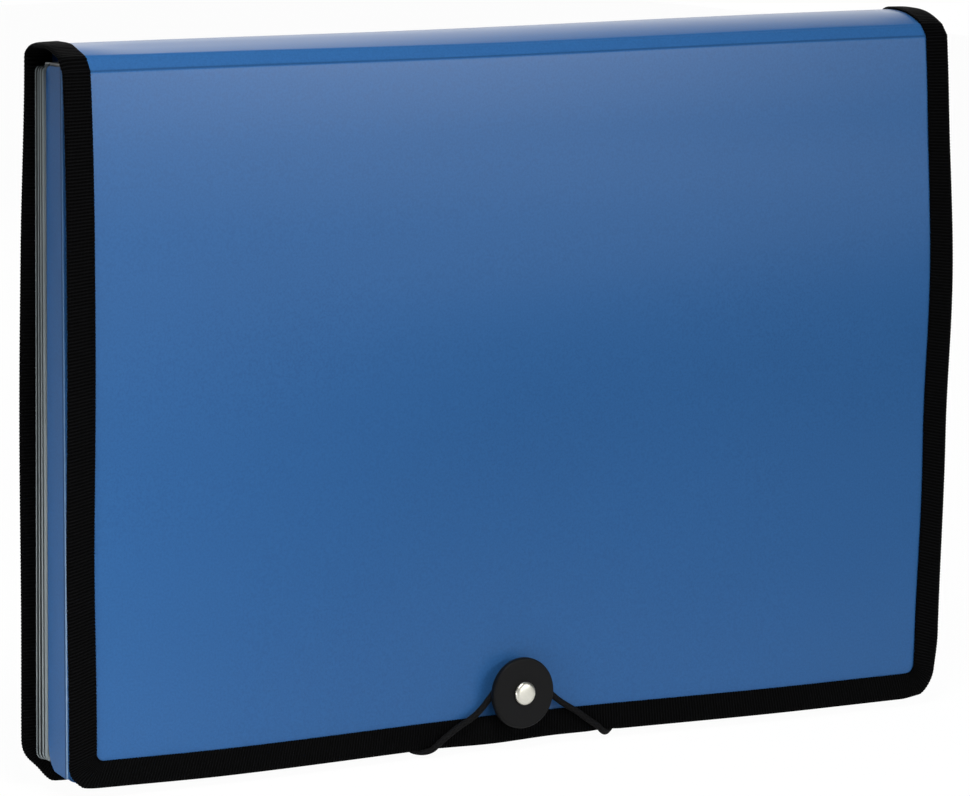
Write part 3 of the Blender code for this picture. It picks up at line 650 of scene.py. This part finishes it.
def settle(points):
    """Gives the cover its hand-bent irregularities, all under 2 mm, as smooth steps and humps of place.

    The top sags and sits lower on the left. The back narrows at its left upper end and bows below it. The
    flap narrows towards its foot, most at its right corner, and the elastic notches its lower edge.
    """
    across, depth, height = points[..., 0].copy(), points[..., 1] - SHIFT, points[..., 2].copy()
    x, y, z = np.moveaxis(points, -1, 0)
    left = 1 - ramp(across, -0.165, 0.060)
    rear = ramp(depth, 0.008, 0.024)
    front = 1 - rear
    low = (1 - ramp(height, 0.0040, 0.0240)) * front
    lowest = (1 - ramp(height, 0.0025, 0.0100)) * front
    z -= 0.0007 * half_wave(across, -0.150, 0.130) * ramp(height, 0.2175, 0.2210)
    ends = 0.0010 * (1 - ramp(across, -0.165, -0.135)) + 0.0005 * ramp(across, 0.140, 0.165)
    z += ends * half_wave(depth, 0.0030, 0.0220) * ramp(height, 0.2150, 0.2200)
    z += left * np.interp(height, (0.2165, 0.2202, 0.2234, 0.2262, 0.2280), (0, -4e-4, 4e-4, -7e-4, -9e-4))
    x += 0.0011 * (1 - ramp(across, -0.165, -0.120)) * ramp(height, 0.1650, 0.2204) * rear
    y += 0.0011 * left * half_wave(height, 0.0400, 0.1900) * rear
    x *= 1 - 0.0068 * (1 - ramp(height, 0.0150, 0.0850)) * front
    right_foot = ramp(across, 0.1500, 0.1650) * low
    x -= 0.0018 * right_foot
    x += 0.0007 * half_wave(height, 0.0200, 0.2100) * ramp(across, 0.1560, 0.1640) * front
    x -= 0.0009 * (1 - ramp(height, 0.0200, 0.0750)) * half_wave(across, 0.1480, 0.1620) * front
    z += 0.0014 * right_foot + 0.0007 * (1 - ramp(across, -0.1650, -0.1100)) * low
    flap_corner = np.exp(-((across + 0.1613) ** 2 + (height - 0.0056) ** 2) / 0.0035**2) * front
    back_corner = np.exp(-((across + 0.1600) ** 2 + (height - 0.0050) ** 2) / 0.0055**2) * rear
    x += 0.0013 * back_corner - 0.0005 * flap_corner
    z += 0.0013 * back_corner + 0.0009 * flap_corner
    beside = 0.0003 * half_wave(np.abs(across), 0.0270, 0.0410)
    z += (beside - 0.0006 * half_wave(across, -0.0340, 0.0180)) * lowest
    return points


def lean_stack(points):
    """Leans the stack's left end by its table, straight between its depths and between foot and top."""
    x, y, z = np.moveaxis(points, -1, 0)
    depth, up = y - SHIFT, np.clip(z / 0.22, 0, 1)
    left, end = 1 - ramp(x, -0.165, -0.060), 1 - ramp(x, -0.165, -0.130)
    rest, top, foot, top_in, foot_in = np.array(STACK).T
    y += left * (np.interp(depth, rest, top - rest) * up + np.interp(depth, rest, foot - rest) * (1 - up))
    x += end * (np.interp(depth, rest, top_in) * up + np.interp(depth, rest, foot_in) * (1 - up))
    z += 0.0008 * end * ramp(z, 0.1900, 0.2190) * (1 - ramp(z, 0.2194, 0.2215)) * (depth > 0.0212)
    return points


def crease_groove(along, stops):
    """Depth of the scored lines: narrow bell curves at the creases."""
    return sum(0.00016 * np.exp(-(((along - stop) / 0.00035) ** 2)) for stop in stops)


def dense(high, count, stops):
    """Lengths from 0 to high with more of them close round the given stops."""
    values = [np.linspace(0.0, high, count)]
    for stop in stops:
        values.append(stop + np.array([-14, -10, -7, -5, -3, -1.5, 0, 1.5, 3, 5, 7, 10, 14]) * 1e-4)
    merged = np.unique(np.round(np.concatenate(values), 6))
    return merged[(merged >= 0.0) & (merged <= high)]


def cover_mesh(name, run, counts, creases, foot, corners, thickness):
    """Sheet: the run swept across, narrowed by its round lower corners, bowed, and grooved at its creases."""
    corner = corners[0]
    along = dense(run.length, counts[0], creases)
    depth, height, out, up = (part[:, None] for part in run.at(along))
    below = np.clip(corner - (height - foot), 0.0, corner)
    half_width = SHEET_EDGE - (corner - np.sqrt(np.maximum(corner**2 - below**2, 0.0)))
    across = np.linspace(-1, 1, counts[1]) * half_width
    points = together(across, depth + run.bow(across, height) + SHIFT, height)
    normal = together(0.0, out, up)
    points -= normal * crease_groove(along, creases)[:, None, None]
    return walled_mesh(name, settle(points), normal, thickness, together(along[:, None], across))


def tape_profile():
    """Folded tape seen end on, a fat hairpin with a soft rim: each face mirrored at the sheet's middle."""
    halves = [np.array(face) * MM for face in TAPE_FACES]
    return np.concatenate([part for half in halves for part in (half, half[-2::-1] * (1.0, -1.0))])


def bound_rails(side, angle, low, half, foot, corners, width):
    """Outer rail of a bound U, down one side, round the corner, along the foot and up, and its way inwards.

    The inner rail lies in by the width and has as many points, its straight parts shortened in proportion.
    """
    rails = []
    for inset, corner in ((0.0, corners[0]), (width, corners[1])):
        edge, base = inset - half, foot + inset
        down = side[0] + (side - side[0]) * (side[0] - base - corner) / (side[0] - foot - corners[0])
        parts = [
            together(edge, down),
            together(edge + corner * (1 + np.cos(angle)), base + corner * (1 + np.sin(angle))),
            together(low * (half - inset - corner) / (half - corners[0]), base),
        ]
        left = np.concatenate(parts)
        rails.append(np.concatenate([left, left[-2::-1] * (-1.0, 1.0)]))
    outer, inner = rails
    return outer, (inner - outer) / width


def inward_of(rails, inward):
    """Places across and in height that lie in from the outer rail by the given lengths."""
    outer, direction = rails
    return np.moveaxis(outer[:, None] + direction[:, None] * inward[..., None], -1, 0)


def tape_rails(top, foot, corners, step):
    """Rails of a binding by equal steps."""
    outer = corners[0]
    side = np.linspace(top, foot + outer, max(2, int((top - foot - outer) / step)))[:-1]
    angle = np.linspace(np.pi, 1.5 * np.pi, int(outer * np.pi / 2 / step))
    low = np.linspace(outer - SHEET_EDGE, 0.0, int((SHEET_EDGE - outer) / step) + 1)[1:]
    return bound_rails(side, angle, low, SHEET_EDGE, foot, corners, TAPE_WIDTH)


def tape_mesh(name, run, rails, to_along):
    """The tape's profile carried along its rails; the ribs scallop it by a sine of the length along it."""
    profile = tape_profile()
    length = lengths(rails[0])
    rib = np.sin(length * (2 * np.pi / RIB))[:, None]
    inmost, outmost = profile[:, 0] > 8.2 * MM, profile[:, 0] < -0.3 * MM
    ragged = 0.00009 * rib * np.where(inmost, 1, np.where(outmost, -1, 0))
    across, height = inward_of(rails, profile[:, 0] + ragged)
    out = profile[:, 1] * (1 + 0.018 * rib)
    depth, tall, away, up = run.at(to_along(height))
    points = together(across, depth + away * out + run.bow(across, tall) + SHIFT, tall + up * out)
    return swept_mesh(name, settle(points), length, lengths([*profile, profile[0]]))


def tube_mesh(name, path, radius, sides):
    """Round tube: a circle carried along the path on frames that never twist."""
    tangent = unit(np.gradient(path, axis=0))
    normals = np.empty_like(path)
    normals[0] = unit(np.cross(tangent[0], (0.0, 0.0, 1.0)))
    for index in range(1, len(path)):
        last = normals[index - 1]
        normals[index] = unit(last - tangent[index] * np.dot(last, tangent[index]))
    angle = (np.arange(sides) * (2 * np.pi / sides))[:, None]
    ring = normals[:, None] * np.cos(angle) + np.cross(tangent, normals)[:, None] * np.sin(angle)
    return swept_mesh(name, path[:, None] + radius * ring, lengths(path))


def turned_mesh(name, profile, foot, sides):
    """Turned piece of the button, facing the front: its profile swept round the button's axis."""
    profile = np.array(profile) * MM
    angle = np.arange(sides) * (2 * np.pi / sides)
    radius, height = profile.T[:, :, None]
    points = together(radius * np.cos(angle), foot + SHIFT - height, BUTTON_HEIGHT + radius * np.sin(angle))
    return swept_mesh(name, points, lengths(profile))


def smooth_line(points, steps):
    """Smooth line through the points: each stretch is a cubic of its four nearest points."""
    points = np.array(points)
    ends = np.concatenate([points[:1], points, points[-1:]])
    a, b, c, d = (ends[index : index + len(points) - 1][:, None] for index in range(4))
    t = np.linspace(0, 1, steps, endpoint=False)[None, :, None]
    line = (2 * b + (c - a) * t + (2 * a - 5 * b + 4 * c - d) * t**2 + (3 * b - a - 3 * c + d) * t**3) / 2
    return np.concatenate([line.reshape(-1, 3), points[-1:]])


class FolderColours(PropertyGroup):
    """Colours a user may change, as linear light."""

    sheet: FloatVectorProperty(
        name="Sheet", description="Polypropylene sheet", default=(0.027, 0.121, 0.330), subtype="COLOR"
    )
    tape: FloatVectorProperty(
        name="Tape", description="Woven binding tape", default=(0.0020, 0.0021, 0.0024), subtype="COLOR"
    )
    cord: FloatVectorProperty(
        name="Elastic", description="Jacket of the elastic", default=(0.0034, 0.0034, 0.0037), subtype="COLOR"
    )
    button: FloatVectorProperty(
        name="Button", description="Disc and spacer", default=(0.0050, 0.0050, 0.0052), subtype="COLOR"
    )
    film: FloatVectorProperty(
        name="Film", description="Frosted film of the bellows", default=(0.34, 0.40, 0.42), subtype="COLOR"
    )


class FolderSizes(PropertyGroup):
    """Sizes a user may change, within what the frame allows."""

    sheet: FloatProperty(
        name="Sheet", description="Thickness of the sheet", default=0.0008, subtype="DISTANCE", unit="LENGTH"
    )
    cord: FloatProperty(
        name="Elastic", description="Diameter of the cord", default=0.0020, subtype="DISTANCE", unit="LENGTH"
    )
    film: FloatProperty(
        name="Film", description="Thickness of the film", default=0.00013, subtype="DISTANCE", unit="LENGTH"
    )
    rib: FloatProperty(
        name="Rib step", description="Step along the tape", default=0.00034, subtype="DISTANCE", unit="LENGTH"
    )


def settings(context):
    """The sizes and the colours that a user may change."""
    return context.scene.folder_sizes, context.scene.folder_colours


class FOLDER_OT_cover(Operator):
    """Bends the blue sheet round the back, top, bevel and flap."""

    bl_idname = "folder.cover"
    bl_label = "Cover sheet"

    def execute(self, context):
        sizes, colours = settings(context)
        run = rear_run()
        creases = (run.stops[-1 - len(BEVEL_SHARES)], run.length)
        rear = cover_mesh("cover_rear", run, (120, 61), creases, BACK_FOOT, BACK_CORNERS, sizes.sheet)
        finished(rear, pp_sheet("pp_blue_top", colours, crease=float(run.length)), SHARP_SHEET)
        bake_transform(rear)
        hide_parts("back_panel", "top_panel")
        run = front_run()
        front = cover_mesh("cover_front", run, (130, 81), (0.0,), FLAP_FOOT, FLAP_CORNERS, sizes.sheet)
        finished(front, pp_sheet("pp_blue_flap", colours, crease=0.0), SHARP_SHEET)
        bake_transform(front)
        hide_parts("flap_panel")
        return {"FINISHED"}


class FOLDER_OT_tape(Operator):
    """Binds the cover's edges with ribbed tape."""

    bl_idname = "folder.tape"
    bl_label = "Binding tape"

    def execute(self, context):
        sizes, colours = settings(context)
        material = ribbed_tape("ribbed_binding", colours)
        run = rear_run()
        rails = tape_rails(BACK_FOOT + run.length, BACK_FOOT, BACK_CORNERS, sizes.rib)
        rear = tape_mesh("tape_rear", run, rails, lambda height: height - BACK_FOOT)
        finished(rear, material)
        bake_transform(rear)
        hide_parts("back_tape", "top_tape_left", "top_tape_right")
        run = front_run()
        rails = tape_rails(run.length, 0.0, FLAP_CORNERS, sizes.rib)
        front = tape_mesh("tape_front", run, rails, lambda height: run.length - height)
        finished(front, material)
        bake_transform(front)
        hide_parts("flap_tape")
        return {"FINISHED"}


def film_rails(top):
    """Rails of a bellows film, with more steps over the last 2 mm, where its upper ends round in."""
    ends = top - np.array([0, 0.1, 0.35, 0.75, 1.3]) * MM
    side = np.concatenate([ends, np.linspace(top - FILM_END, FOOT + DIVIDER_CORNER, 60)])
    angle = np.linspace(np.pi, 1.5 * np.pi, 13)[1:]
    low = np.linspace(DIVIDER_CORNER - PANEL_EDGE, 0.0, 30)[1:]
    return bound_rails(side, angle, low, PANEL_EDGE, FOOT, (DIVIDER_CORNER, 0.002), FILM_REACH)


def film_mesh(name, line, thickness, top, round_in=0.0012):
    """Thin film: its centre line (in from the edge, depth) carried along the rails, with a wall round it."""
    tangent = unit(np.gradient(line, axis=0))
    side = together(tangent[:, 1], -tangent[:, 0]) * (thickness / 2)
    ring = np.concatenate([line + side, (line - side)[::-1]])
    rails = film_rails(top)
    share = np.clip((rails[0][:, 1] - (top - FILM_END)) / FILM_END, 0.0, 1.0)[:, None]
    across, height = inward_of(rails, ring[:, 0] + round_in * (1 - np.sqrt(1 - share**2)))
    return swept_mesh(name, lean_stack(together(across, ring[:, 1] + SHIFT, height)), lengths(rails[0]))


def vee(rear, front, near):
    """V fold from the rear sheet in to its apex and out again to the front one, near its edge."""
    apex = np.array([FILM_REACH, (rear + front) / 2])
    share = np.linspace(0, 1, 7)[:, None]
    into = (1 - share) * (0.0002, rear) + share * apex
    out = (1 - share) * apex + share * (near, front)
    return np.concatenate([into, out[1:]])


def pleat_line(rear, middle, radius):
    """V fold in front of the rear sheet, then a half circle round the divider's edge."""
    turn = np.linspace(0, np.pi, 9)
    bead = together(-radius * np.sin(turn), middle + radius * np.cos(turn))
    return np.concatenate([vee(rear, middle + radius, 0.0003), bead, [[0.0008, middle - radius]]])


def divider_mesh(name, number, middle):
    """Flat divider: the heights of its foot and of its top, with the tab's round step, carried across."""
    pitch, width, rise, corner = TAB
    centre = (number - 2.5) * pitch
    turn = 1 - np.cos(np.linspace(0, np.pi / 2, 7))
    sides = np.concatenate([PANEL_EDGE - DIVIDER_CORNER * turn, [0.5 * PANEL_EDGE, 0.0]])
    steps = np.concatenate([width / 2 - corner * turn, [width / 2 + 1e-5]])
    across = np.concatenate([sides, -sides, centre + steps, centre - steps, np.linspace(-0.156, -0.05, 20)])
    across = np.unique(np.round(across, 7))
    near_side = np.clip(DIVIDER_CORNER - (PANEL_EDGE - np.abs(across)), 0, DIVIDER_CORNER)
    rounding = DIVIDER_CORNER - np.sqrt(DIVIDER_CORNER**2 - near_side**2)
    inside = width / 2 - np.abs(across - centre)
    near_step = np.clip(corner - inside, 0, corner)
    tab = np.where(inside >= -1e-6, rise - corner + np.sqrt(corner**2 - near_step**2), 0.0)
    heights = np.stack([FOOT + rounding, DIVIDER_TOP - rounding * 0.7 + tab], axis=1)
    points = lean_stack(together(across[:, None], middle + SHIFT, heights))
    return walled_mesh(name, points, np.array([0.0, -1.0, 0.0]), 2 * DIVIDER_HALF, points[..., [0, 2]])


def front_girth():
    """Front panel from above, (across, depth) and its normal: wing, quarter fold, half the face, mirrored."""
    wing = np.linspace(WING_END, FRONT_MIDDLE + FRONT_FOLD, 30)
    angle = np.linspace(0, np.pi / 2, 9)[1:]
    edge = PANEL_EDGE - 0.0004
    face = np.concatenate([np.linspace(edge - FRONT_FOLD, edge - 0.009, 15)[1:], np.linspace(0.14, 0.0, 8)])
    inside, fold = FRONT_FOLD * (1 - np.cos(angle)), FRONT_FOLD * (1 - np.sin(angle))
    parts = [
        together(-edge, wing, -1.0, 0.0),
        together(inside - edge, FRONT_MIDDLE + fold, -np.cos(angle), -np.sin(angle)),
        together(-face, FRONT_MIDDLE, 0.0, -1.0),
    ]
    left = np.concatenate(parts)
    return np.concatenate([left, left[-2::-1] * (-1.0, 1.0, -1.0, 1.0)])


def front_panel_mesh(name, thickness):
    """Front panel: upright lines from the lower to the upper edge, carried round the girth."""
    girth = front_girth()
    across, depth, side, ahead = girth.T[:, :, None]
    on_wing = np.interp(depth, *np.array(WING_FOOT).T)
    bend = np.clip((np.abs(across) - FOOT_HALF) / (PANEL_EDGE - 0.0010 - FOOT_HALF), 0, 1)
    on_face = FRONT_FOOT + (WING_FOOT[0][1] - FRONT_FOOT) * (1 - np.sqrt(1 - bend**2))
    foot = np.where(depth > FRONT_MIDDLE + 1e-6, on_wing, on_face)
    near = np.clip(depth - WING_END + FRONT_CORNER, 0, FRONT_CORNER)
    top = FRONT_TOP - FRONT_CORNER + np.sqrt(FRONT_CORNER**2 - near**2)
    height = foot + (top - foot) * np.linspace(0, 1, 25)
    points = lean_stack(together(across, depth + SHIFT, height))
    normal = together(side, ahead, 0.0)
    return walled_mesh(name, points, normal, thickness, together(lengths(girth[:, :2])[:, None], height))


def front_foot_mesh(name, thickness):
    """Bottom wing: straight in from behind, then a quarter circle up to the face, carried across."""
    angle = np.linspace(0, np.pi / 2, 8)
    ahead, above, radius = FOOT_FOLD
    straight = together(np.linspace(WING_END, ahead + 0.0006, 8), FOOT_MIDDLE, 0.0)
    turn = together(ahead - radius * np.sin(angle), above - radius * np.cos(angle), -np.sin(angle))
    depth, height, back = np.concatenate([straight, turn]).T
    across = np.linspace(-FOOT_HALF, FOOT_HALF, 30)[:, None]
    taper = 1 - 0.013 * np.clip((depth - ahead) / (WING_END - ahead), 0, 1)
    points = lean_stack(together(across * taper, depth + SHIFT, height))
    return walled_mesh(name, points, together(0.0, back, -np.sqrt(1 - back**2)), thickness, points[..., :2])


class FOLDER_OT_front(Operator):
    """Folds the front panel with its side wings and bottom wing."""

    bl_idname = "folder.front"
    bl_label = "Front panel"

    def execute(self, context):
        sizes, colours = settings(context)
        girth = float(lengths(front_girth()[:, :2])[-1])
        material = pp_sheet("pp_blue_panel", colours, girth, sheen=0.0)
        panel = front_panel_mesh("pocket_front", sizes.sheet)
        foot = front_foot_mesh("pocket_front_foot", sizes.sheet)
        for piece in (panel, foot):
            finished(piece, material, SHARP_SHEET)
            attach(piece, "pocket_5")
            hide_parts("front_panel")
        return {"FINISHED"}


class FOLDER_OT_bellows(Operator):
    """Folds the five bellows films, each a V between two sheets with its edge turned over the divider."""

    bl_idname = "folder.bellows"
    bl_label = "Bellows films"

    def execute(self, context):
        sizes, colours = settings(context)
        material = clear_film("bellows_film", colours)
        stock = divider_stock("frosted_divider", colours)
        gap = sizes.film / 2 + 0.00003
        rear = BACK_INNER_FACE - gap
        body = "back"
        for number, (middle, radius) in enumerate(zip(DIVIDER_MIDDLES, BEADS), start=1):
            following = f"pocket_{number}"
            sheet = divider_mesh(f"divider_sheet_{number}", number, middle)
            finished(sheet, stock, SHARP_SHEET)
            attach(sheet, following)
            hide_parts(f"divider_{number}")
            line = pleat_line(rear, middle, radius)
            film = film_mesh(f"bellows_film_{number}", line, sizes.film, DIVIDER_TOP)
            finished(film, material, SHARP_TURN)
            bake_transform(film)
            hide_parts(f"gusset_{number}")
            rear, body = middle - radius, following
        fold = rear - 0.00055
        line = np.concatenate([vee(rear, fold, 0.0015), np.array(FILM_LAP) + (0.0, fold)])
        film = film_mesh("bellows_film_5", line, sizes.film, FILM_TOP, 0.0003)
        finished(film, material, SHARP_TURN)
        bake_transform(film)
        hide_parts("gusset_5")
        return {"FINISHED"}


class FOLDER_OT_button(Operator):
    """Turns the button's disc with softened edges, and the low domed head of its rivet."""

    bl_idname = "folder.button"
    bl_label = "Button and rivet"

    def execute(self, context):
        colours = context.scene.folder_colours
        piece = turned_mesh("button_face", DISC_PROFILE, DISC_REAR, sides=128)
        finished(piece, button_moulding("button_black", colours), SHARP_TURN)
        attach(piece, "button")
        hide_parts("button_disc")
        piece = turned_mesh("rivet_head", RIVET_PROFILE, RIVET_FOOT, sides=96)
        finished(piece, nickel_plate("nickel_head"), SHARP_TURN)
        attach(piece, "flap")
        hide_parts("button_rivet")
        return {"FINISHED"}


class FOLDER_OT_cord(Operator):
    """Leads the elastic from its two holes under the flap and round the button.

    Humps of the distance from the middle pull it up 1 mm at its low points and down 1 mm half way up. One
    more hump takes it down 1.4 mm on the left.
    """

    bl_idname = "folder.cord"
    bl_label = "Elastic cord"

    def execute(self, context):
        sizes, colours = settings(context)
        half = np.array(CORD_HALF_ROUTE)
        route = np.concatenate([half, [CORD_TOP], half[::-1] * (-1.0, 1.0, 1.0)])
        path = smooth_line(route, steps=5)
        reach = np.abs(path[:, 0])
        path[:, 2] += 0.0010 * (half_wave(reach, 0.0240, 0.0460) - half_wave(reach, 0.0060, 0.0240))
        path[:, 2] -= 0.0014 * half_wave(path[:, 0], -0.0290, -0.0015)
        path[:, 1] += SHIFT
        loop = tube_mesh("elastic_cord", path, sizes.cord / 2, sides=24)
        finished(loop, braided_elastic("braided_elastic", colours))
        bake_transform(loop)
        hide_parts("cord_loop")
        return {"FINISHED"}


class FOLDER_OT_finishes(Operator):
    """Gives the pieces that keep their CAD shape their own finishes."""

    bl_idname = "folder.finishes"
    bl_label = "Finishes"

    def execute(self, context):
        colours = context.scene.folder_colours
        by_slot = {
            "label_paper": label_card("index_card"),
            "button_plastic": button_moulding("button_spacer_black", colours),
            "nickel": nickel_plate("nickel_plate"),
        }
        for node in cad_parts.values():
            for place in node.material_slots:
                plain = place.material.name.split(".")[0]
                if plain in by_slot:
                    place.material = by_slot[plain]
        return {"FINISHED"}


class FOLDER_OT_stage(Operator):
    """Sets the white floor, the soft lights and the camera."""

    bl_idname = "folder.stage"
    bl_label = "Stage"

    def execute(self, context):
        scene = context.scene
        self.floor()
        self.world(scene)
        for name, values in SOFTBOXES.items():
            self.softbox(name, *values)
        self.camera(scene)
        scene.view_settings.view_transform = "Standard"
        return {"FINISHED"}

    def floor(self):
        """White floor: camera and reflections see it nearly white, with the folder's soft shadow on it."""
        mesh = bpy.data.meshes.new("floor")
        mesh.from_pydata([(-2, -0.2, 0), (2, -0.2, 0), (2, 3, 0), (-2, 3, 0)], [], [(0, 1, 2, 3)])
        finish = Finish("white_floor")
        camera, glossy, through = finish.rays()
        share = (camera + (glossy + through) * 0.5).least(1.0) * 0.94
        matt = finish.node("ShaderNodeBsdfDiffuse", {}, {"Color": (0.80, 0.80, 0.80, 1.0)})
        white = finish.node("ShaderNodeEmission", {}, {"Color": WHITE, "Strength": 1.03})
        finish.end(finish.node("ShaderNodeMixShader", {}, {0: share, 1: matt, 2: white}))
        mesh.materials.append(finish.data)
        placed("floor", mesh)

    def world(self, scene):
        """Dim even light, and white for the camera and for reflections of what lies behind the folder."""
        studio = Finish("studio", bpy.data.worlds.new("studio"))
        scene.world = studio.data
        camera, glossy, through = studio.rays()
        _, backward, upward = studio.split(studio.node("ShaderNodeTexCoord", output="Generated"))
        behind = (backward * 2.0 + 0.3).most(0.0).least(1.0)
        level = (1.875 - upward * 2.5).most(0.0).least(1.0)
        mirrored = glossy + through
        strength = (camera + mirrored * behind * level * 0.88 + (1.0 - mirrored) * 0.17).least(1.0)
        studio.end(studio.node("ShaderNodeBackground", {}, {"Color": WHITE, "Strength": strength}))

    def softbox(self, name, place, target, size, power):
        """Rectangular area light aimed at a point."""
        light = bpy.data.lights.new(name, "AREA")
        light.shape = "RECTANGLE"
        light.size, light.size_y = size
        light.energy = power
        lamp = placed(name, light)
        lamp.location = place
        lamp.rotation_euler = (Vector(target) - Vector(place)).to_track_quat("-Z", "Y").to_euler()

    def camera(self, scene):
        """Long lens from the front left and a little above, as the photograph was taken."""
        azimuth, elevation, roll = np.radians(CAMERA_TURNS)
        back = np.array([np.sin(azimuth), -np.cos(azimuth), 0.0]) * np.cos(elevation)
        back[2] = np.sin(elevation)
        level = np.array([np.cos(azimuth), np.sin(azimuth), 0.0])
        rise = np.cross(back, level)
        right = level * np.cos(roll) + rise * np.sin(roll)
        up = rise * np.cos(roll) - level * np.sin(roll)
        lens = bpy.data.cameras.new("camera")
        lens.sensor_width = 36.0
        lens.sensor_fit = "HORIZONTAL"
        lens.lens = FOCAL_MM
        lens.clip_end = 50.0
        matrix = np.eye(4)
        matrix[:3] = np.stack([right, up, back, CAMERA_PLACE], axis=1)
        scene.camera = placed("camera", lens)
        scene.camera.matrix_world = Matrix(matrix.tolist())


class FOLDER_PT_panel(Panel):
    """Lists the folder's pieces, sizes and colours."""

    bl_idname = "FOLDER_PT_panel"
    bl_label = "File Folder"
    bl_space_type = "VIEW_3D"
    bl_region_type = "UI"
    bl_category = "File Folder"

    def draw(self, context):
        for group in settings(context):
            for key in group.__annotations__:
                self.layout.prop(group, key)
        for operator in OPERATORS:
            self.layout.operator(operator.bl_idname)


OPERATORS = (
    FOLDER_OT_cover,
    FOLDER_OT_tape,
    FOLDER_OT_front,
    FOLDER_OT_bellows,
    FOLDER_OT_button,
    FOLDER_OT_cord,
    FOLDER_OT_finishes,
    FOLDER_OT_stage,
)
CLASSES = (FolderSizes, FolderColours, *OPERATORS, FOLDER_PT_panel)


def register():
    for item in CLASSES:
        bpy.utils.register_class(item)
    bpy.types.Scene.folder_sizes = PointerProperty(type=FolderSizes)
    bpy.types.Scene.folder_colours = PointerProperty(type=FolderColours)


def unregister():
    del bpy.types.Scene.folder_colours
    del bpy.types.Scene.folder_sizes
    for item in reversed(CLASSES):
        bpy.utils.unregister_class(item)


def main():
    register()
    bpy.ops.folder.cover()
    bpy.ops.folder.tape()
    bpy.ops.folder.front()
    bpy.ops.folder.bellows()
    bpy.ops.folder.button()
    bpy.ops.folder.cord()
    bpy.ops.folder.finishes()
    bpy.ops.folder.stage()


if __name__ == "__main__":
    main()
